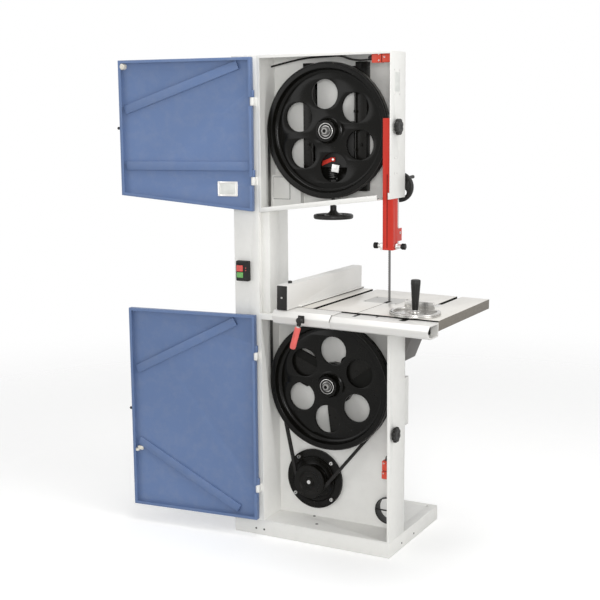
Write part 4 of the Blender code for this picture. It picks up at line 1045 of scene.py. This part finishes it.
def makeTable():
    size = tableSize
    top, front, back = size["top"], size["front"], size["back"]
    copyPart("table", "tableCasting", "table", "ground_iron", finish["ground_iron"], 0.7)
    copyPart("table_insert", "tableInsertPlate", "table", "aluminium", insertMetal, 0.3)
    screws = [(x, y, top - 0.3) for x in (242, 372) for y in (-231, -119)]
    heads("insertScrews", screws, (0, 0, 1), 3.2, 0.35, shadeAndPrintBlack, "table", "aluminium", 16, turn=leanTurn)
    # dark strips of painted shade: inside the two T-slots, along the top of the table's front face, and over
    # the blade slit
    shadeStrips = Form(shadeAndPrintBlack)
    for left in (139.0, 514.0):
        shadeStrips.block((left + 0.05, front + 0.4, top - 8.6), (left + 1.1, back - 0.4, top - 1.6), 0)
    shadeStrips.block((size["left"] + 1, front - 0.5, top - 7.5), (size["right"] - 1, front + 0.2, top - 0.8), 0)
    shadeStrips.block((319, -226, top + 0.02), (334, -188, top + 0.09), 0)
    shadeStrips.done("tablePaintedShade", "table", "black_paint", turn=leanTurn)
    pin = Form(finish["black_paint"])
    for left, right, reach in ((329, 343, 50), (411, 418, 22), (513, 537, 44)):
        pin.block((left, front - reach, top - 5.4), (right, front - 0.4, top - 5.05), 0)
    pin.done("tableFrontPins", "table", "black_paint", turn=leanTurn)
    trunnion = Form(finish["cast_iron"])
    tiltX, radius, under = size["tiltX"], 120.0, top - size["thick"] - 0.3
    segment = ringLoop(tiltX, top, radius, 48, 208, 274)
    segment += [(segment[-1][0], under - 5), (segment[0][0], under - 5)]
    for low, high in ((-88, -66), (8, 30)):
        trunnion.plate("XZ", [segment], low, high, 1.2)
    trunnion.block((tiltX - 100, -88, under - 20), (tiltX + 26, 30, under), 1.5)
    trunnion.done("trunnionPair", "table", "cast_iron", ("table_trunnion",), turn=leanTurn)
    copyPart("table_saddle", "tableSaddle", "frame", "cast_iron", finish["cast_iron"], 1.0)


makeTable()


def makeRailAndFence():
    copyPart("front_rail", "frontRail", "table", "aluminium", finish["aluminium"], 0.9)
    copyPart("fence_carrier", "fenceCarrier", "fence", "aluminium", finish["aluminium"], 0.9)
    # a dark plate across the rail's open end: painted shade inside its hollow
    hollowShade = Form(shadeAndPrintBlack)
    hollowShade.plate("YZ", [[(-486, 1020), (-570, 1020), (-581, 1009), (-581, 1000), (-568, 985), (-553, 981),
                         (-486, 981)]], 618, 622, 0.2)
    hollowShade.done("railHollowShade", "table", "black_paint", turn=leanTurn)
    seam = Form(finish["black_plastic"])
    seam.pipe([(264.4, -566, 1029.6), (264.8, -578, 1026), (264.4, -589, 1014), (264.8, -591, 1006)], 0.9, 2)
    seam.done("carrierSeam", "fence", "black_plastic", turn=leanTurn)
    copyPart("fence", "fenceExtrusion", "fence", "aluminium", finish["aluminium"], 0.8)
    # a dark strip under the fence's right edge, shaped as a glide strip: painted shadow of the gap between
    # fence and table
    glideShadow = Form(shadeAndPrintBlack)
    glideShadow.block((88, -478, 1032.15), (92.2, 74, 1034.6), 0)
    glideShadow.done("fenceGlideShadow", "fence", "black_plastic", turn=leanTurn)
    copyPart("fence_end_cap", "fenceEndCap", "fence", "black_plastic", finish["black_plastic"], 0.8)
    boltsAt("fenceCapScrew", [(59, -577, 1079)], (0, -1, 0), 3.4, "fence", turn=leanTurn)
    stud = Form(finish["black_plastic"])
    stud.spin("Z", (58, -512, 1126), [(0, 0), (8, 0), (8, 7), (6.6, 9), (0, 9)], 24)
    stud.done("fenceStud", "fence", "black_plastic", turn=leanTurn)


makeRailAndFence()

lever = {"x": 152.0, "z": 1006.0, "noseY": -592.8, "lean": (-35.0, -124.0)}


def makeLever():
    size = lever
    run = Vector((size["lean"][0], 0, size["lean"][1]))
    length = run.length
    turn = run.normalized().to_track_quat("Z", "Y").to_matrix().to_4x4()
    place = Matrix.Translation(Vector((size["x"], size["noseY"] - 13.7, size["z"])) * mm) @ turn
    hub = Form(finish["black_plastic"])
    nose = size["noseY"]
    hub.spin("Y", (size["x"], 0, size["z"]),
             [(0, nose - 24), (9, nose - 24), (12, nose - 22), (12, nose - 2), (10.6, nose - 0.4),
              (0, nose - 0.4)], 48)
    hub.block((size["x"] - 13, nose - 6, size["z"] - 12), (size["x"] + 13, nose - 0.5, size["z"] + 17), 2)
    hub.done("leverHub", "fence_lever", "black_plastic", ("fence_lever",), turn=leanTurn)
    stick = Form(finish["black_plastic"], bareSteel, gripRed)
    stick.spin("Z", (0, 0, 0), [(0, 4), (8.4, 4), (8.4, 14), (7.2, 22), (0, 22)], 32)
    stick.use(1).spin("Z", (0, 0, 0), [(0, 21), (5.6, 21), (5.6, 24), (8.0, 24.6), (8.0, 28), (0, 28)], 32)
    stick.use(2).spin("Z", (0, 0, 0),
                      [(0, 27), (9.4, 27), (11.2, 30), (11.3, 70), (11.4, length - 26), (10.2, length - 17.4),
                       (6, length - 14.6), (0, length - 14)], 48)
    bmesh.ops.transform(stick.mesh, matrix=place, verts=stick.mesh.verts)
    stick.done("fenceLeverArm", "fence_lever", "red_plastic", crease=30, turn=leanTurn)


makeLever()

mitre = {"x": 524.0, "y": -402.0, "radius": 95.0, "low": 1032.4, "plateLeft": -66.0, "plateRight": 54.0}


def makeMitre():
    x, y, radius, low = mitre["x"], mitre["y"], mitre["radius"], mitre["low"]
    head = Form(polishedCast, shadeAndPrintBlack)
    flat = y + 62

    def headLoop(reach, back):
        return [(px, min(py, back)) for px, py in ringLoop(x, y, reach, 72, 132, 408)]

    head.plate("XY", [headLoop(radius, flat)], low, low + 5.5, 0.8)
    head.use(1).plate("XY", [headLoop(radius + 0.15, flat + 0.15), headLoop(radius - 2, flat - 2)],
                      low + 5.2, low + 6.2, 0.1)
    head.use(0)
    head.plate("XY", [headLoop(radius, flat), headLoop(radius - 14, flat - 12)], low + 5, low + 12, 0.9)
    head.plate("XY", [ringLoop(x, y, 24, 48)], low + 5, low + 11.6, 0.8)
    head.plate("XY", [rectangle(x + mitre["plateLeft"], flat - 9, x + mitre["plateRight"], flat, 2)],
               low + 11, low + 38, 0.9)
    head.done("mitreHeadPlate", "mitre_head", "aluminium", ("mitre_head",), turn=leanTurn)
    ringOfBars("mitreScale", "Z", (x, y, low + 12.1), 49, radius - 5, (6.0, 0.7, 0.3), shadeAndPrintBlack, "mitre_head",
               "black_plastic",
               start=-150, step=2.5, turn=leanTurn)
    ringOfBars("mitreScaleTens", "Z", (x, y, low + 12.12), 13, radius - 6.5, (9.0, 1.0, 0.3), shadeAndPrintBlack,
               "mitre_head", "black_plastic",
               start=-150, step=10, turn=leanTurn)
    copyPart("mitre_bar", "mitreBar", "mitre_bar", "bright_steel", finish["bright_steel"], 0.6)
    handle = Form(finish["black_plastic"], bareSteel)
    handle.spin("Z", (x, y, low + 12),
                [(0, 117), (13, 117), (16.4, 116), (18, 113.5), (18, 100), (17.4, 95), (11.6, 10), (11, 6),
                 (11, 2.6), (0, 2.6)], 64)
    handle.use(1).spin("Z", (x, y, low + 12),
                       [(0, 3), (15, 3), (15.6, 2.4), (15.6, 0.9), (15, 0.4), (0, 0.4)], 48)
    handle.done("mitreHandle", "mitre_handle", "black_plastic", ("mitre_handle",), turn=leanTurn)


makeMitre()
print("table, fence and mitre gauge made")


studio = {
    "cameraPlace": (2.1343, -4.2622, 1.753),
    "turn": math.radians(28.455),
    "dip": math.radians(9.113),
    "roll": math.radians(-0.511),
    "lens": 68.74,
    "sensor": 36.0,
    "skyFill": 0.45,
    "skySeen": 1.0,
    "floorGlow": 0.27,
    "floorReach": 5.0,
}


def makeCamera():
    turn, dip, roll = studio["turn"], studio["dip"], studio["roll"]
    ahead = Vector((-math.sin(turn) * math.cos(dip), math.cos(turn) * math.cos(dip), -math.sin(dip)))
    level = Vector((math.cos(turn), math.sin(turn), 0.0))
    upward = level.cross(ahead)
    across = math.cos(roll) * level + math.sin(roll) * upward
    tall = math.cos(roll) * upward - math.sin(roll) * level
    data = bpy.data.cameras.new("studio camera")
    data.lens = studio["lens"]
    data.sensor_width = studio["sensor"]
    camera = bpy.data.objects.new("studio camera", data)
    bpy.context.scene.collection.objects.link(camera)
    facing = Matrix((across, tall, -ahead)).transposed().to_4x4()
    camera.matrix_world = Matrix.Translation(studio["cameraPlace"]) @ facing
    bpy.context.scene.camera = camera


def makeLamp(name, place, target, width, height, watts):
    data = bpy.data.lights.new(name, "AREA")
    data.shape = "RECTANGLE"
    data.size = width
    data.size_y = height
    data.energy = watts
    lamp = bpy.data.objects.new(name, data)
    lamp.location = place
    lamp.rotation_euler = (Vector(target) - Vector(place)).to_track_quat("-Z", "Y").to_euler()
    bpy.context.scene.collection.objects.link(lamp)


def makeWorld():
    world = bpy.data.worlds.new("studio")
    world.use_nodes = True
    bpy.context.scene.world = world
    nodes, links = world.node_tree.nodes, world.node_tree.links
    path = nodes.new("ShaderNodeLightPath")
    seen = nodes.new("ShaderNodeMath")
    seen.operation = "MAXIMUM"
    links.new(path.outputs["Is Camera Ray"], seen.inputs[0])
    links.new(path.outputs["Is Glossy Ray"], seen.inputs[1])
    strength = nodes.new("ShaderNodeMapRange")
    strength.inputs["To Min"].default_value = studio["skyFill"]
    strength.inputs["To Max"].default_value = studio["skySeen"]
    links.new(seen.outputs[0], strength.inputs["Value"])
    nodes["Background"].inputs["Color"].default_value = (1.0, 1.0, 1.0, 1.0)
    links.new(strength.outputs["Result"], nodes["Background"].inputs["Strength"])


def makeFloor():
    paint = Paint("pale floor", BaseColor=(0.88, 0.88, 0.875, 1.0), Roughness=0.9, SpecularIORLevel=0.1)
    away = paint.node("VectorMath", {"operation": "LENGTH"}, {0: paint.place()}, 1)
    fade = paint.node("MapRange", {"interpolation_type": "SMOOTHSTEP"},
                      {"Value": away, "From Min": 1.0, "From Max": studio["floorReach"]})
    glow = paint.node("LightPath") * studio["floorGlow"]
    lit = paint.node("Emission", {}, {"Strength": glow})
    both = paint.node("AddShader", {}, {0: Wire(paint, paint.surface.outputs[0]), 1: lit})
    clear = paint.node("BsdfTransparent")
    mixed = paint.node("MixShader", {}, {0: fade, 1: both, 2: clear})
    paint.feed(paint.tree.nodes["Material Output"].inputs["Surface"], mixed)
    mesh = bpy.data.meshes.new("floor")
    sheet = bmesh.new()
    bmesh.ops.create_circle(sheet, cap_ends=True, segments=96, radius=studio["floorReach"] + 1.0)
    sheet.to_mesh(mesh)
    sheet.free()
    mesh.materials.append(paint.material)
    floor = bpy.data.objects.new("floor", mesh)
    floor.location.z = -0.0005
    bpy.context.scene.collection.objects.link(floor)


makeCamera()
makeWorld()
makeFloor()
makeLamp("key", (2.4, -5.0, 2.1), (0.1, -0.1, 1.45), 1.4, 1.4, 98)
makeLamp("left fill", (-3.2, -4.2, 2.4), (0.0, -0.1, 1.0), 2.2, 2.8, 34)
makeLamp("right fill", (5.0, -1.2, 2.0), (0.3, -0.1, 0.9), 2.2, 3.0, 74)
makeLamp("top", (0.5, -0.6, 4.4), (0.1, -0.1, 0.8), 2.2, 2.2, 68)
bpy.context.scene.view_settings.view_transform = "Standard"
print("studio set")
